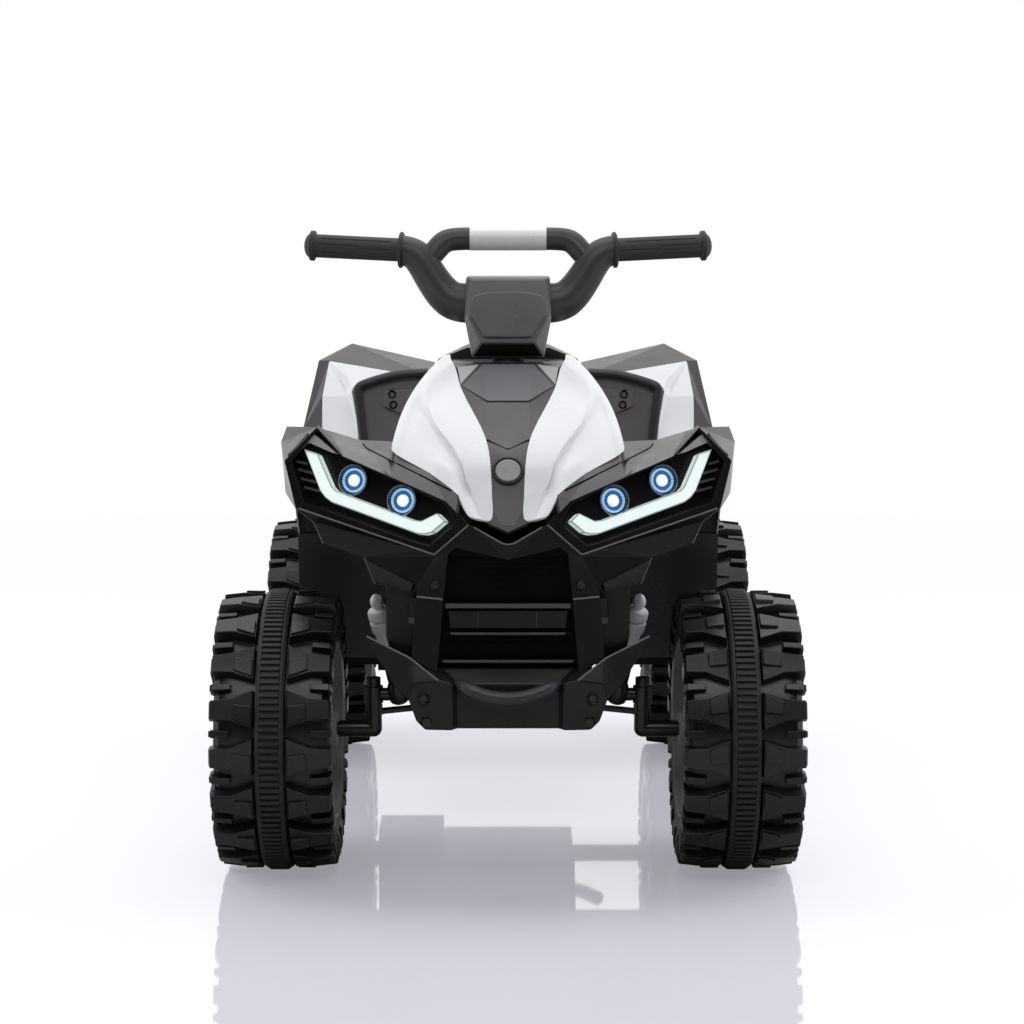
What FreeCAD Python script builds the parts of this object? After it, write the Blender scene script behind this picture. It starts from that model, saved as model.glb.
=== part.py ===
import FreeCAD, Part
import math
import os
from types import SimpleNamespace

from FreeCAD import Placement, Rotation, Vector

# Kids quad bike: x to the rider's left, -y to the front, z up, ground at z = 0, millimetres
os.makedirs("parts", exist_ok=True)
doc = FreeCAD.newDocument("QuadBike")

# Driving dimensions
SIZES = (
    ("wheelbase", 425, "front axle to rear axle"),
    ("track", 350, "tyre centre to tyre centre"),
    ("tyre_radius", 108, "over the traction band"),
    ("tyre_width", 90, "tyre, side to side"),
    ("tyre_bore", 70, "radius of the tyre's seat on the rim"),
    ("tyre_wall", 4, "hollow tyre's wall"),
    ("block_drop", 2, "tread blocks below the band's top"),
    ("block_height", 8, "tread block over the groove floor"),
    ("shoulder_drop", 8, "tyre shoulder below the groove floor"),
    ("block_count", 18, "tread blocks round each side"),
    ("band_width", 22, "rubber traction band"),
    ("seat_gap", 0.2, "between pieces that sit on each other"),
    ("run_gap", 0.06, "radial clearance of a running fit"),
    ("pivot_slack", 0.6, "extra clearance at the linkage's loose pivots"),
    ("axle_radius", 5, "stub axles and rear axle"),
    ("hub_radius", 13, "rim hub"),
    ("rim_width", 86, "rim barrel"),
    ("rim_wall", 3.5, "rim barrel wall"),
    ("spoke_count", 5, "windows in the rim disc"),
    ("kingpin_inset", 26, "kingpin inside the tyre's inner face"),
    ("kingpin_radius", 4, "kingpin"),
    ("elbow_radius", 6.4, "knuckle's bent rod"),
    ("beam_radius", 5, "front axle beam"),
    ("beam_rise", 27, "front axle beam over the axle line"),
    ("sleeve_radius", 7.5, "kingpin sleeve on the beam"),
    ("sleeve_height", 13, "kingpin sleeve on the beam"),
    ("arm_length", 28, "steering arms and the column's crank"),
    ("arm_thick", 4, "steering arm plate"),
    ("arm_rise", 9, "underside of the steering arms over the axle line"),
    ("tie_thick", 3, "tie rod strip"),
    ("tie_width", 11, "tie rod strip"),
    ("pin_radius", 3, "tie rod pins"),
    ("column_radius", 6, "steering column"),
    ("column_setback", 25, "column foot behind the front axle"),
    ("column_rake", 10, "degrees the column leans back"),
    ("bar_rise", 46, "lower run of the handlebar over the dash deck"),
    ("stem_gap", 4, "stem cover over the dash deck"),
    ("bar_lift", 41, "grips over the lower run"),
    ("grip_start", 78.5, "inner flange of the grip from the middle"),
    ("grip_length", 81, "grip with its end flange"),
    ("grip_radius", 9.2, "grip"),
    ("flange_radius", 14.2, "inner flange of the grip"),
    ("tube_radius_inner", 16, "handlebar tube at the stem"),
    ("tube_radius_outer", 11.8, "handlebar tube at the grip"),
    ("crossbar_radius", 9, "crossbar ends"),
    ("crossbar_rise", 50.5, "crossbar over the lower run"),
    ("sleeve_half_length", 30.5, "silver crossbar sleeve, half"),
    ("wall", 3, "moulded walls"),
    ("tub_half_width", 62, "chassis tub"),
    ("tub_floor_rise", 20, "tub floor over the axle line"),
    ("tub_rear_drop", 10, "rear box of the tub below the axle line"),
    ("footboard_half_width", 168, "outer edge of the footboards"),
    ("footboard_thick", 6, "footboard plate"),
    ("footboard_front", 156, "footboard's front edge behind the front axle"),
    ("tyre_clearance", 12, "footboard to rear tyre"),
    ("bezel_depth", 18, "headlight bezel, front to back"),
    ("lamp_recess", 12, "headlight floor behind the bezel face"),
    ("strip_height", 8, "light strip over the headlight floor"),
    ("projector_radius", 10.8, "projector ring"),
    ("lens_radius", 8, "projector lens"),
    ("badge_radius", 11.7, "blank hood badge"),
    ("seat_thick", 24, "seat moulding"),
    ("battery_length", 100, "battery along the bike"),
    ("battery_width", 70, "battery across the bike"),
    ("battery_height", 68, "battery"),
    ("gear_module", 1.25, "wheel gear pair"),
    ("drive_teeth", 40, "gear on the rear wheel"),
    ("small_teeth", 12, "small side of the reduction gear"),
    ("fine_module", 1.0, "motor gear pair"),
    ("large_teeth", 36, "large side of the reduction gear"),
    ("pinion_teeth", 10, "motor pinion"),
    ("gear_width", 10, "face width"),
    ("backlash", 0.3, "tooth thinning at the pitch line"),
    ("motor_radius", 14, "gear motor"),
    ("motor_length", 40, "gear motor"),
    ("pedal_front_gap", 11.5, "pedal tip to the mudguard's skirt"),
    ("pedal_rear_gap", 45, "pedal pivot to the footboard's rear edge"),
    ("pedal_width", 44, "accelerator pedal"),
    ("button_radius", 9, "power button"),
    ("rocker_length", 24, "direction switch"),
    ("rocker_width", 13, "direction switch"),
    ("control_gap", 0.5, "round the button and the switch"),
    ("screw_radius", 4, "visible screw heads"),
)
sheet = doc.addObject("Spreadsheet::Sheet", "Sizes")
for row, (alias, value, note) in enumerate(SIZES, start=1):
    sheet.set(f"A{row}", note)
    sheet.set(f"B{row}", str(value))
    sheet.setAlias(f"B{row}", alias)
doc.recompute()
size = SimpleNamespace(**{alias: float(sheet.get(alias)) for alias, value, note in SIZES})

# Datums worked out from the driving dimensions
front_y = -size.wheelbase / 2
rear_y = size.wheelbase / 2
axle_z = size.tyre_radius
tyre_top = 2 * size.tyre_radius
half_track = size.track / 2
tyre_inner = half_track - size.tyre_width / 2
king_x = tyre_inner - size.kingpin_inset
floor_z = axle_z + size.tub_floor_rise
tub_top = tyre_top - 1
block_top = size.tyre_radius - size.block_drop
groove_floor = block_top - size.block_height
DRAWN_TYRE_TOP = 216.0
DRAWN_HALF_TRACK = 175.0
DRAWN_DECK = 387.0
lift = tyre_top - DRAWN_TYRE_TOP
spread = half_track - DRAWN_HALF_TRACK
deck_z = DRAWN_DECK + lift
bar_z = deck_z + size.bar_rise
PANEL_INNER = 85.0
PANEL_BLEND = 60.0

nodes = []


def keep(obj, label=None):
    """Register a finished sub-part under the label that names its file."""
    if label:
        obj.Label = label
    nodes.append(obj)
    return obj


def bind(obj, **links):
    """Tie properties to sheet cells: every word in a link is a sheet alias."""
    for prop, link in links.items():
        words = link.replace("(", " ( ").replace(")", " ) ").split()
        text = " ".join("Sizes." + w if w[0].isalpha() else w for w in words)
        obj.setExpression(prop, text)
    return obj


def cylinder(name, base, axis, **links):
    obj = doc.addObject("Part::Cylinder", name)
    obj.Placement = Placement(base, Rotation(Vector(0, 0, 1), axis))
    return bind(obj, **links)


def block(name, corner, **links):
    obj = doc.addObject("Part::Box", name)
    obj.Placement = Placement(corner, Rotation())
    return bind(obj, **links)


def fuse(name, *shapes):
    obj = doc.addObject("Part::MultiFuse", name)
    obj.Shapes = list(shapes)
    return obj


def cut(name, base, tool):
    obj = doc.addObject("Part::Cut", name)
    obj.Base = base
    obj.Tool = tool
    return obj


def feature(name, shape):
    obj = doc.addObject("Part::Feature", name)
    obj.Shape = shape
    return obj


def mirrored(obj, name):
    twin = doc.addObject("Part::Mirroring", name)
    twin.Source = obj
    twin.Normal = Vector(1, 0, 0)
    return twin


def group(name, *shapes):
    """Several separate solids that share one node."""
    solids = [solid for shape in shapes for solid in shape.Solids]
    return feature(name, Part.makeCompound(solids))


def widen(x):
    """Panel points near the wheels move out with the track."""
    share = min(1.0, max(0.0, (abs(x) - PANEL_INNER) / PANEL_BLEND))
    return x + math.copysign(spread * share, x)


def fore(x, ahead, z):
    """Body point placed from the front axle; z as drawn over the stock tyres."""
    return Vector(widen(x), front_y - ahead, z + lift)


def aft(x, behind, z):
    """Body point placed from the rear axle."""
    return Vector(widen(x), rear_y + behind, z + lift)


def polygon(points):
    return Part.Face(Part.makePolygon(list(points) + [points[0]]))


def thick_panel(points, facets, inward):
    """Closed solid of a faceted moulding: the facets, a copy moved inward, and the rim between."""
    faces = []
    rim = {}
    for names in facets:
        corners = [points[name] for name in names]
        for i in range(1, len(corners) - 1):
            triangle = [corners[0], corners[i], corners[i + 1]]
            faces.append(polygon(triangle))
            faces.append(polygon([p + inward for p in reversed(triangle)]))
        for first, second in zip(names, names[1:] + names[:1]):
            if (second, first) in rim:
                del rim[(second, first)]
            else:
                rim[(first, second)] = (points[first], points[second])
    for start, end in rim.values():
        faces.append(polygon([start, start + inward, end + inward, end]))
    shell = Part.makeShell(faces)
    shell.sewShape()
    solid = Part.makeSolid(shell)
    if solid.Volume < 0:
        return thick_panel(points, [list(reversed(names)) for names in facets], inward)
    return solid


def with_twin(points):
    """Add the mirrored twin of every point off the middle, under its name with a prime."""
    both = dict(points)
    for name, point in points.items():
        if abs(point.x) > 0.01:
            both[name + "'"] = Vector(-point.x, point.y, point.z)
    return both


def twin_facets(facets, points):
    """Mirror facets to the other side, turning them over so that they still face out."""
    turned = []
    for names in facets:
        order = names[:1] + names[:0:-1]
        turned.append([n + "'" if n + "'" in points else n for n in order])
    return [list(names) for names in facets] + turned


def symmetric_panel(points, facets, inward):
    both = with_twin(points)
    return thick_panel(both, twin_facets(facets, both), inward)


def main_solid(shape):
    """The largest solid, without crumbs left by a cut."""
    return max(shape.Solids, key=lambda solid: solid.Volume)


def trimmed(shape, *tools):
    for tool in tools:
        shape = main_solid(shape.cut(tool))
    return shape


def tube_along(points, radii):
    """Round tube through the points, its radius running from the first to the last value."""
    steps = [(b - a).normalize() for a, b in zip(points, points[1:])]
    lengths = [0.0]
    for a, b in zip(points, points[1:]):
        lengths.append(lengths[-1] + (b - a).Length)
    rings = []
    for index, point in enumerate(points):
        before = steps[max(index - 1, 0)]
        after = steps[min(index, len(steps) - 1)]
        share = lengths[index] / lengths[-1]
        radius = radii[0] + (radii[1] - radii[0]) * share
        rings.append(Part.Wire(Part.Circle(point, before + after, radius).toShape()))
    return Part.makeLoft(rings, True, True)


def rounded_path(points, radius, steps=6):
    """Polyline with its inner corners rounded off by short chords."""
    path = [points[0]]
    for before, corner, after in zip(points, points[1:], points[2:]):
        into = (corner - before).normalize()
        out = (after - corner).normalize()
        turn = into.getAngle(out)
        reach = radius * math.tan(turn / 2)
        start = corner - into * reach
        normal = (out - into * into.dot(out)).normalize()
        for step in range(steps + 1):
            angle = turn * step / steps
            path.append(start + into * (radius * math.sin(angle)) + normal * (radius * (1 - math.cos(angle))))
    return path + [points[-1]]


def loft(sections, ruled=False):
    wires = [Part.makePolygon(list(section) + [section[0]]) for section in sections]
    return Part.makeLoft(wires, True, ruled)


def both_halves(profile, y):
    """Closed outline across the bike from a half profile of (x, z) points."""
    right = [Vector(x, y, z) for x, z in profile]
    return right + [Vector(-p.x, y, p.z) for p in reversed(right)]


def cover(sections, wall):
    """Upside-down trough: sections (y, half profile from the foot to the top), open below."""
    outer = []
    inner = []
    last = len(sections) - 1
    for index, (y, profile) in enumerate(sections):
        y_in = y + (wall if index == 0 else -wall if index == last else 0)
        hollow = [(x - wall, z - wall) for x, z in profile]
        hollow[0] = (profile[0][0] - wall, profile[0][1] - 1)
        outer.append(both_halves(profile, y))
        inner.append(both_halves(hollow, y_in))
    return loft(outer, True).cut(loft(inner, True))


# Wheels: one master wheel on the x axis, outer face towards +x
def tread_blocks():
    """Big tapered blocks beside the band and small bars on the shoulder, both sides."""
    inner = size.band_width / 2 + 1.5
    outer = size.tyre_width / 2 - 1
    mid = (inner + outer) / 2
    pitch = 2 * math.pi * block_top / size.block_count
    big = ((inner, -0.40), (inner, 0.36), (mid, 0.215), (outer, 0.19), (outer, -0.19), (mid, -0.22))
    bar = ((mid + 1, 0.435), (mid + 1, 0.565), (outer, 0.565), (outer, 0.435))
    foot = groove_floor - size.shoulder_drop - 2
    blocks = []
    for index in range(int(size.block_count)):
        for outline, top in ((big, block_top), (bar, block_top - 2)):
            for side in (1, -1):
                points = [Vector(side * x, share * pitch, foot) for x, share in outline]
                lug = polygon(points).extrude(Vector(0, 0, top - foot))
                lug.rotate(Vector(), Vector(1, 0, 0), 360 * index / size.block_count)
                blocks.append(lug)
    return blocks


def turned(profile):
    """Solid of (x, radius) points turned round the x axis."""
    return polygon([Vector(x, r, 0) for x, r in profile]).revolve(Vector(), Vector(1, 0, 0), 360)


def tyre_shape():
    half = size.tyre_width / 2
    shoulder = groove_floor - size.shoulder_drop
    profile = ((-half, size.tyre_bore), (-half, shoulder), (-half + 7, groove_floor),
               (half - 7, groove_floor), (half, shoulder), (half, size.tyre_bore))
    inside = half - size.tyre_wall
    crown = groove_floor - size.tyre_wall
    hollow = ((-inside, size.tyre_bore - 5), (-inside, shoulder - 6), (7 - inside, crown),
              (inside - 7, crown), (inside, shoulder - 6), (inside, size.tyre_bore - 5))
    return turned(profile).multiFuse(tread_blocks()).cut(turned(hollow))


def origin_plane(body, role):
    return next(f for f in body.Origin.OriginFeatures if f.Role == role)


def sketch_on(body, name, role, outlines):
    """Sketch of closed outlines (lists of 2D points) on one of the body's origin planes."""
    sketch = body.newObject("Sketcher::SketchObject", name)
    sketch.AttachmentSupport = (origin_plane(body, role), [""])
    sketch.MapMode = "FlatFace"
    for outline in outlines:
        for (x0, y0), (x1, y1) in zip(outline, outline[1:] + outline[:1]):
            sketch.addGeometry(Part.LineSegment(Vector(x0, y0, 0), Vector(x1, y1, 0)), False)
    return sketch


def ring_body(name, outline):
    """Body turned round the x axis from an outline of (x, radius) points."""
    body = doc.addObject("PartDesign::Body", name)
    sketch = sketch_on(body, name + "_profile", "XY_Plane", [outline])
    turn = body.newObject("PartDesign::Revolution", name + "_turn")
    turn.Profile = sketch
    turn.ReferenceAxis = (sketch, ["H_Axis"])
    turn.Angle = 360
    return body


def band_body():
    half = size.band_width / 2
    inner = groove_floor + size.seat_gap
    return ring_body("band_master", [(-half, inner), (half, inner), (half - 2, size.tyre_radius),
                                     (2 - half, size.tyre_radius)])


def rim_body():
    """Barrel, dished disc with windows and a hub that is closed on the outer side."""
    half = size.rim_width / 2
    barrel = size.tyre_bore - size.seat_gap
    inner = barrel - size.rim_wall
    bore = size.axle_radius + size.run_gap
    outline = [(-half, bore), (-half, size.hub_radius), (18, size.hub_radius), (19, inner - 2),
               (-half, inner), (-half, barrel), (half, barrel), (half - 2, inner), (25, inner - 3),
               (24, size.hub_radius + 8), (31, size.hub_radius), (34, 9), (34, 0), (30, 0), (30, bore)]
    body = ring_body("rim_master", outline)
    inner_edge = size.hub_radius + 11
    outer_edge = inner - 12
    half_step = math.pi / size.spoke_count
    low = half_step * 0.42
    high = half_step * 0.72
    window = [(inner_edge * math.sin(a), inner_edge * math.cos(a)) for a in (-low, low)]
    window += [(outer_edge * math.sin(a), outer_edge * math.cos(a)) for a in (high, 0, -high)]
    sketch = sketch_on(body, "rim_window", "YZ_Plane", [window])
    pocket = body.newObject("PartDesign::Pocket", "rim_pocket")
    pocket.Profile = sketch
    pocket.Type = "ThroughAll"
    pocket.Midplane = True
    pattern = body.newObject("PartDesign::PolarPattern", "rim_windows")
    pattern.Originals = [pocket]
    pattern.Axis = (sketch, ["N_Axis"])
    pattern.Angle = 360
    bind(pattern, Occurrences="spoke_count")
    body.Tip = pattern
    return body


def make_wheels():
    masters = (("tyre", tyre_shape()), ("traction_band", band_body()), ("rim", rim_body()))
    doc.recompute()
    corners = (("front_left", 1, front_y), ("front_right", -1, front_y),
               ("rear_left", 1, rear_y), ("rear_right", -1, rear_y))
    for corner, side, y in corners:
        turn = Rotation(Vector(0, 0, 1), 0 if side > 0 else 180)
        for piece, master in masters:
            shape = master.Shape if hasattr(master, "Shape") else master
            wheel = keep(feature(f"{piece}_{corner}", shape.copy()))
            wheel.Placement = Placement(Vector(side * half_track, y, axle_z), turn)


# Front axle, knuckles and steering linkage
def make_front_axle():
    beam_z = axle_z + size.beam_rise
    base = Vector(-king_x, front_y, beam_z)
    beam = cylinder("beam_bar", base, Vector(1, 0, 0), Radius="beam_radius",
                    Height="track - tyre_width - 2 * kingpin_inset")
    parts = [beam]
    bores = []
    for side in (1, -1):
        foot = Vector(side * king_x, front_y, beam_z - size.sleeve_height / 2)
        parts.append(cylinder(f"beam_sleeve_{side}", foot, Vector(0, 0, 1), Radius="sleeve_radius",
                              Height="sleeve_height"))
        bores.append(cylinder(f"beam_bore_{side}", foot - Vector(0, 0, 5), Vector(0, 0, 1),
                              Radius="kingpin_radius + run_gap", Height="sleeve_height + 10"))
    keep(cut("front_axle_beam", fuse("beam_body", *parts), fuse("beam_bores", *bores)))


def make_knuckle(label, side):
    """Kingpin, bent rod, stub axle and steering arm, turned as one piece."""
    up = Vector(0, 0, 1)
    out = Vector(side, 0, 0)
    corner = Vector(side * king_x, front_y, axle_z)
    beam_z = axle_z + size.beam_rise
    neck = beam_z - size.sleeve_height / 2 - axle_z - size.seat_gap
    upright = doc.addObject("Part::Cylinder", label + "_upright")
    upright.Placement = Placement(corner, Rotation())
    bind(upright, Radius="elbow_radius", Height="beam_rise - sleeve_height / 2 - seat_gap")
    ball = doc.addObject("Part::Sphere", label + "_bend")
    ball.Placement = Placement(corner, Rotation())
    bind(ball, Radius="elbow_radius")
    rod = cylinder(label + "_rod", corner, out, Radius="elbow_radius",
                   Height="kingpin_inset + tyre_width / 2 - rim_width / 2 - 1")
    stub = cylinder(label + "_stub", corner, out, Radius="axle_radius",
                    Height="kingpin_inset + tyre_width / 2 + 28")
    pin = cylinder(label + "_pin", corner + up * neck, up, Radius="kingpin_radius",
                   Height="sleeve_height + 2 * seat_gap + 2")
    cap = cylinder(label + "_cap", corner + up * (neck + size.sleeve_height + 2 * size.seat_gap), up,
                   Radius="kingpin_radius + 1.6", Height="6.5")
    arm_z = axle_z + size.arm_rise
    half = size.tie_width / 2
    arm = doc.addObject("Part::Box", label + "_arm")
    arm.Placement = Placement(Vector(corner.x - half, front_y, arm_z), Rotation())
    bind(arm, Length="tie_width", Width="arm_length", Height="arm_thick")
    eye = corner + Vector(0, size.arm_length, size.arm_rise)
    tip = cylinder(label + "_tip", eye, up, Radius="tie_width / 2", Height="arm_thick")
    post = cylinder(label + "_post", eye + up, -up, Radius="pin_radius", Height="tie_thick + 5")
    keep(fuse(label, upright, ball, rod, stub, pin, cap, arm, tip, post))


def column_point(z):
    """Point on the steering axis at a height."""
    back = size.column_setback + (z - floor_z) * math.tan(math.radians(size.column_rake))
    return Vector(0, front_y + back, z)


column_axis = (column_point(tyre_top + 200) - column_point(floor_z)).normalize()


def make_column():
    arm_z = axle_z + size.arm_rise
    foot = column_point(arm_z)
    top = column_point(bar_z)
    rod = cylinder("column_rod", foot, column_axis, Radius="column_radius")
    rod.Height = (top - foot).Length
    crank = doc.addObject("Part::Box", "column_crank")
    crank.Placement = Placement(Vector(-size.column_radius, foot.y, arm_z), Rotation())
    bind(crank, Length="2 * column_radius", Width="arm_length", Height="arm_thick")
    eye = Vector(0, foot.y + size.arm_length, arm_z)
    tip = cylinder("column_tip", eye, Vector(0, 0, 1), Radius="column_radius", Height="arm_thick")
    post = cylinder("column_post", eye, Vector(0, 0, -1), Radius="pin_radius", Height="tie_thick + 4")
    keep(fuse("steering_column", rod, crank, tip, post))


def make_tie_rod():
    """Bowed strip under the steering arms: tight pivot on the left, loose ones elsewhere."""
    z = axle_z + size.arm_rise - size.seat_gap - size.tie_thick
    end_y = front_y + size.arm_length
    mid_y = column_point(axle_z + size.arm_rise).y + size.arm_length
    half = size.tie_width / 2
    bend = 0.55 * king_x
    edge = ((-king_x, end_y), (-bend, mid_y), (bend, mid_y), (king_x, end_y))
    outline = [Vector(x, y - half, z) for x, y in edge] + [Vector(x, y + half, z) for x, y in reversed(edge)]
    rise = Vector(0, 0, size.tie_thick)
    strip = polygon(outline).extrude(rise)
    eyes = ((king_x, end_y, size.pin_radius + size.run_gap),
            (-king_x, end_y, size.pin_radius + size.pivot_slack),
            (0, mid_y, size.pin_radius + 2 * size.pivot_slack))
    for x, y, hole in eyes:
        strip = strip.fuse(Part.makeCylinder(half + 1.5, size.tie_thick, Vector(x, y, z)))
    for x, y, hole in eyes:
        strip = strip.cut(Part.makeCylinder(hole, size.tie_thick + 2, Vector(x, y, z - 1)))
    keep(feature("tie_rod", strip.removeSplitter()))


SHOCK_BALL = 6.5
SHOCK_INSET = 4.0
SHOCK_FOOT_SHARE = 0.65


def shock_top():
    """Top ball, just inboard of the kingpin and ahead of the axle."""
    return Vector(king_x - SHOCK_INSET, front_y - 20, tyre_top - 5)


def make_shock_absorbers():
    """Dummy dampers between the beam and a boss on the tub."""
    room = king_x - size.sleeve_radius - size.tub_half_width
    foot_x = size.tub_half_width + SHOCK_FOOT_SHARE * room
    beam = Vector(foot_x, front_y, axle_z + size.beam_rise)
    top = shock_top()
    axis = (top - beam).normalize()
    length = (top - beam).Length
    eye = Part.makeCylinder(size.beam_radius + 4, 8, beam - Vector(4, 0, 0), Vector(1, 0, 0))
    stages = ((0.10, 0.62, 5), (0.50, 0.56, 7.5), (0.62, 0.84, 6.2), (0.70, 0.75, 8.2), (0.84, 0.93, 4))
    body = eye
    for start, end, radius in stages:
        foot = beam + axis * (length * start)
        body = body.fuse(Part.makeCylinder(radius, length * (end - start), foot, axis))
    body = body.fuse(Part.makeSphere(SHOCK_BALL, top))
    bore = size.beam_radius + size.seat_gap
    body = body.cut(Part.makeCylinder(bore, 20, beam - Vector(10, 0, 0), Vector(1, 0, 0)))
    left = body.removeSplitter()
    keep(group("shock_absorbers", left, left.mirror(Vector(), Vector(1, 0, 0))))


# Front panels, drawn in front view over the lamp plane and thickened to the back
def lamp_point(x, z, depth=0.0):
    """Point of the swept-back headlight plane, or that far behind it."""
    wide = widen(x)
    ahead = 105 - 0.403 * (wide - 29) - 0.25 * (z - 287)
    return Vector(wide, front_y - ahead + depth, z + lift)


BEZEL_OUTLINE = ((37.6, 290), (45.4, 297.3), (86.3, 312.8), (122.1, 326.1), (142.1, 346.3),
                 (166.9, 320.8), (157.7, 286.4), (65.5, 261.5), (53.2, 257.9), (27.5, 281.4))
LAMP_OPENING = ((45.8, 295), (86.4, 311.4), (121.8, 324.7), (141.8, 344), (161.5, 320.5),
                (151, 291), (66, 266.5), (57, 265), (38, 281.5))
STRIP_OUTLINE = ((149.5, 327.5), (134.6, 294), (67.9, 270.7), (44.9, 280),
                 (51, 285), (61, 279), (126, 297.8), (139, 324.3))
PROJECTORS = ((112.4, 307.3), (77.8, 295))


def lamp_prism(outline, near, far):
    """Prism along y between two depths behind the lamp plane."""
    face = polygon([lamp_point(x, z, near) for x, z in reversed(outline)])
    return face.extrude(Vector(0, far - near, 0))


def lamp_normal():
    a, b, c = (lamp_point(*p) for p in ((60, 290), (120, 290), (60, 320)))
    normal = (b - a).cross(c - a).normalize()
    return normal if normal.y < 0 else -normal


def both_sides(shape):
    return [shape, shape.mirror(Vector(), Vector(1, 0, 0))]


def make_headlights():
    bezel = lamp_prism(BEZEL_OUTLINE, 0, size.bezel_depth).cut(lamp_prism(LAMP_OPENING, -1, size.lamp_recess))
    keep(group("headlight_bezels", *both_sides(bezel)))
    strip = lamp_prism(STRIP_OUTLINE, size.lamp_recess - size.strip_height, size.lamp_recess)
    keep(group("light_strips", *both_sides(strip)))
    normal = lamp_normal()
    rings = []
    lenses = []
    for x, z in PROJECTORS:
        seat = lamp_point(x, z, size.lamp_recess) + normal * size.seat_gap
        ring = Part.makeCylinder(size.projector_radius, 7, seat, normal)
        bore = Part.makeCylinder(size.lens_radius + size.seat_gap, 6, seat + normal * 1.5, normal)
        rings += both_sides(ring.cut(bore))
        ball = size.lens_radius * 1.3
        dome = Part.makeSphere(ball, seat + normal * (7.5 - ball))
        barrel = Part.makeCylinder(size.lens_radius, 8, seat + normal * (1.5 + size.seat_gap), normal)
        lenses += both_sides(barrel.common(dome))
    keep(group("projector_rings", *rings))
    keep(group("projector_lenses", *lenses))
    return bezel


HOOD = {
    "tip": fore(14.8, 110, 283.4), "nose": fore(14.9, 97, 300), "waist": fore(15.1, 78, 322.1),
    "notch": fore(16.5, 58, 338.5), "dash_low": fore(36.2, 0, 373.6), "dash_mid": fore(39, -25, 385.3),
    "dash_top": fore(44.7, -42, 391.3), "rear_in": fore(46, -110, 391),
    "crease1": fore(64.8, -5, 370.1), "crease2": fore(56, 38, 347.3), "crease3": fore(44.4, 54, 337.6),
    "crease4": fore(33, 74, 324.9), "crease5": fore(30.9, 86, 310.4),
    "side1": fore(56.6, -45, 388.2), "side2": fore(65.1, -30, 379.7), "side3": fore(74, -15, 370.8),
    "side4": fore(81.4, 5, 352.5), "corner": fore(81.9, 45, 326), "rear_out": fore(57, -110, 388),
    "edge2": fore(57.2, 72, 315.1), "edge3": fore(36, 95, 301.6), "edge4": fore(29.2, 106, 287.4),
    "fold2": fore(63.2, 45, 333), "fold3": fore(39.7, 76, 320.3),
    "low2": fore(84.5, -20, 329), "low3": fore(85, -110, 318),
}
HOOD_FACETS = (
    ["tip", "edge4", "crease5", "nose"], ["edge4", "edge3", "crease5"],
    ["nose", "crease5", "crease4", "waist"], ["waist", "crease4", "crease3", "notch"],
    ["notch", "crease3", "crease2", "dash_low"], ["dash_low", "crease2", "crease1", "dash_mid"],
    ["dash_mid", "crease1", "side2", "side1", "dash_top"], ["crease1", "side3", "side2"],
    ["crease1", "crease2", "side4", "side3"], ["crease2", "fold2", "corner", "side4"],
    ["crease2", "crease3", "fold3", "fold2"], ["crease3", "crease4", "fold3"],
    ["crease4", "crease5", "fold3"], ["crease5", "edge3", "fold3"], ["fold3", "edge3", "edge2"],
    ["fold3", "edge2", "fold2"], ["fold2", "edge2", "corner"],
    ["side4", "corner", "low2"], ["side3", "side4", "low2"], ["side2", "side3", "low2"],
    ["side2", "low2", "low3"], ["side1", "side2", "low3"], ["rear_out", "side1", "low3"],
    ["dash_top", "side1", "rear_out", "rear_in"],
)


def make_hood():
    left = thick_panel(HOOD, HOOD_FACETS, Vector(-1.6, 1.6, -2.2))
    right = left.mirror(Vector(), Vector(1, 0, 0))
    keep(feature("hood_panel_left", left))
    keep(feature("hood_panel_right", right))
    dash_points = {
        "groove": fore(0, 67, 331), "notch": HOOD["notch"], "low": HOOD["dash_low"], "mid": HOOD["dash_mid"],
        "line": fore(15.9, 14, 362.3), "line0": fore(0, 14, 362.3), "top": fore(21, -42, 386.7),
        "top0": fore(0, -42, 387), "deck_front": fore(43.5, -42, 388), "deck_rear": fore(44.5, -110, 387),
        "deck_rear0": fore(0, -110, 387),
    }
    dash_facets = (["groove", "notch", "line", "line0"], ["notch", "low", "line"], ["line", "low", "top"],
                   ["line0", "line", "top", "top0"], ["low", "mid", "top"], ["mid", "deck_front", "top"],
                   ["top0", "top", "deck_front", "deck_rear", "deck_rear0"])
    dash = symmetric_panel(dash_points, dash_facets, Vector(0, 1.5, -2.4))
    hole = Part.makeCylinder(size.column_radius + 8, 80, column_point(tyre_top + 130), column_axis)
    dash = trimmed(dash.cut(hole), left, right)
    keep(feature("dash_panel", dash))
    strip_points = {
        "tip0": fore(0, 113, 277), "tip": HOOD["tip"], "waist": HOOD["waist"], "notch": HOOD["notch"],
        "waist0": fore(0, 79.5, 322), "groove": fore(0, 67, 331),
    }
    strip_facets = (["tip0", "tip", "waist", "waist0"], ["waist0", "waist", "notch", "groove"])
    strip = symmetric_panel(strip_points, strip_facets, Vector(0, 1.6, -2))
    strip = trimmed(strip, left, right, dash)
    keep(feature("hood_centre_panel", strip))
    slope = (strip_points["waist0"] - strip_points["tip0"]).normalize()
    normal = Vector(1, 0, 0).cross(slope)
    seat = strip_points["tip0"] + slope * 50 + normal * (size.seat_gap + 0.4)
    badge = cylinder("hood_badge", seat, normal, Radius="badge_radius", Height="2.5")
    keep(badge)
    return left


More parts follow.
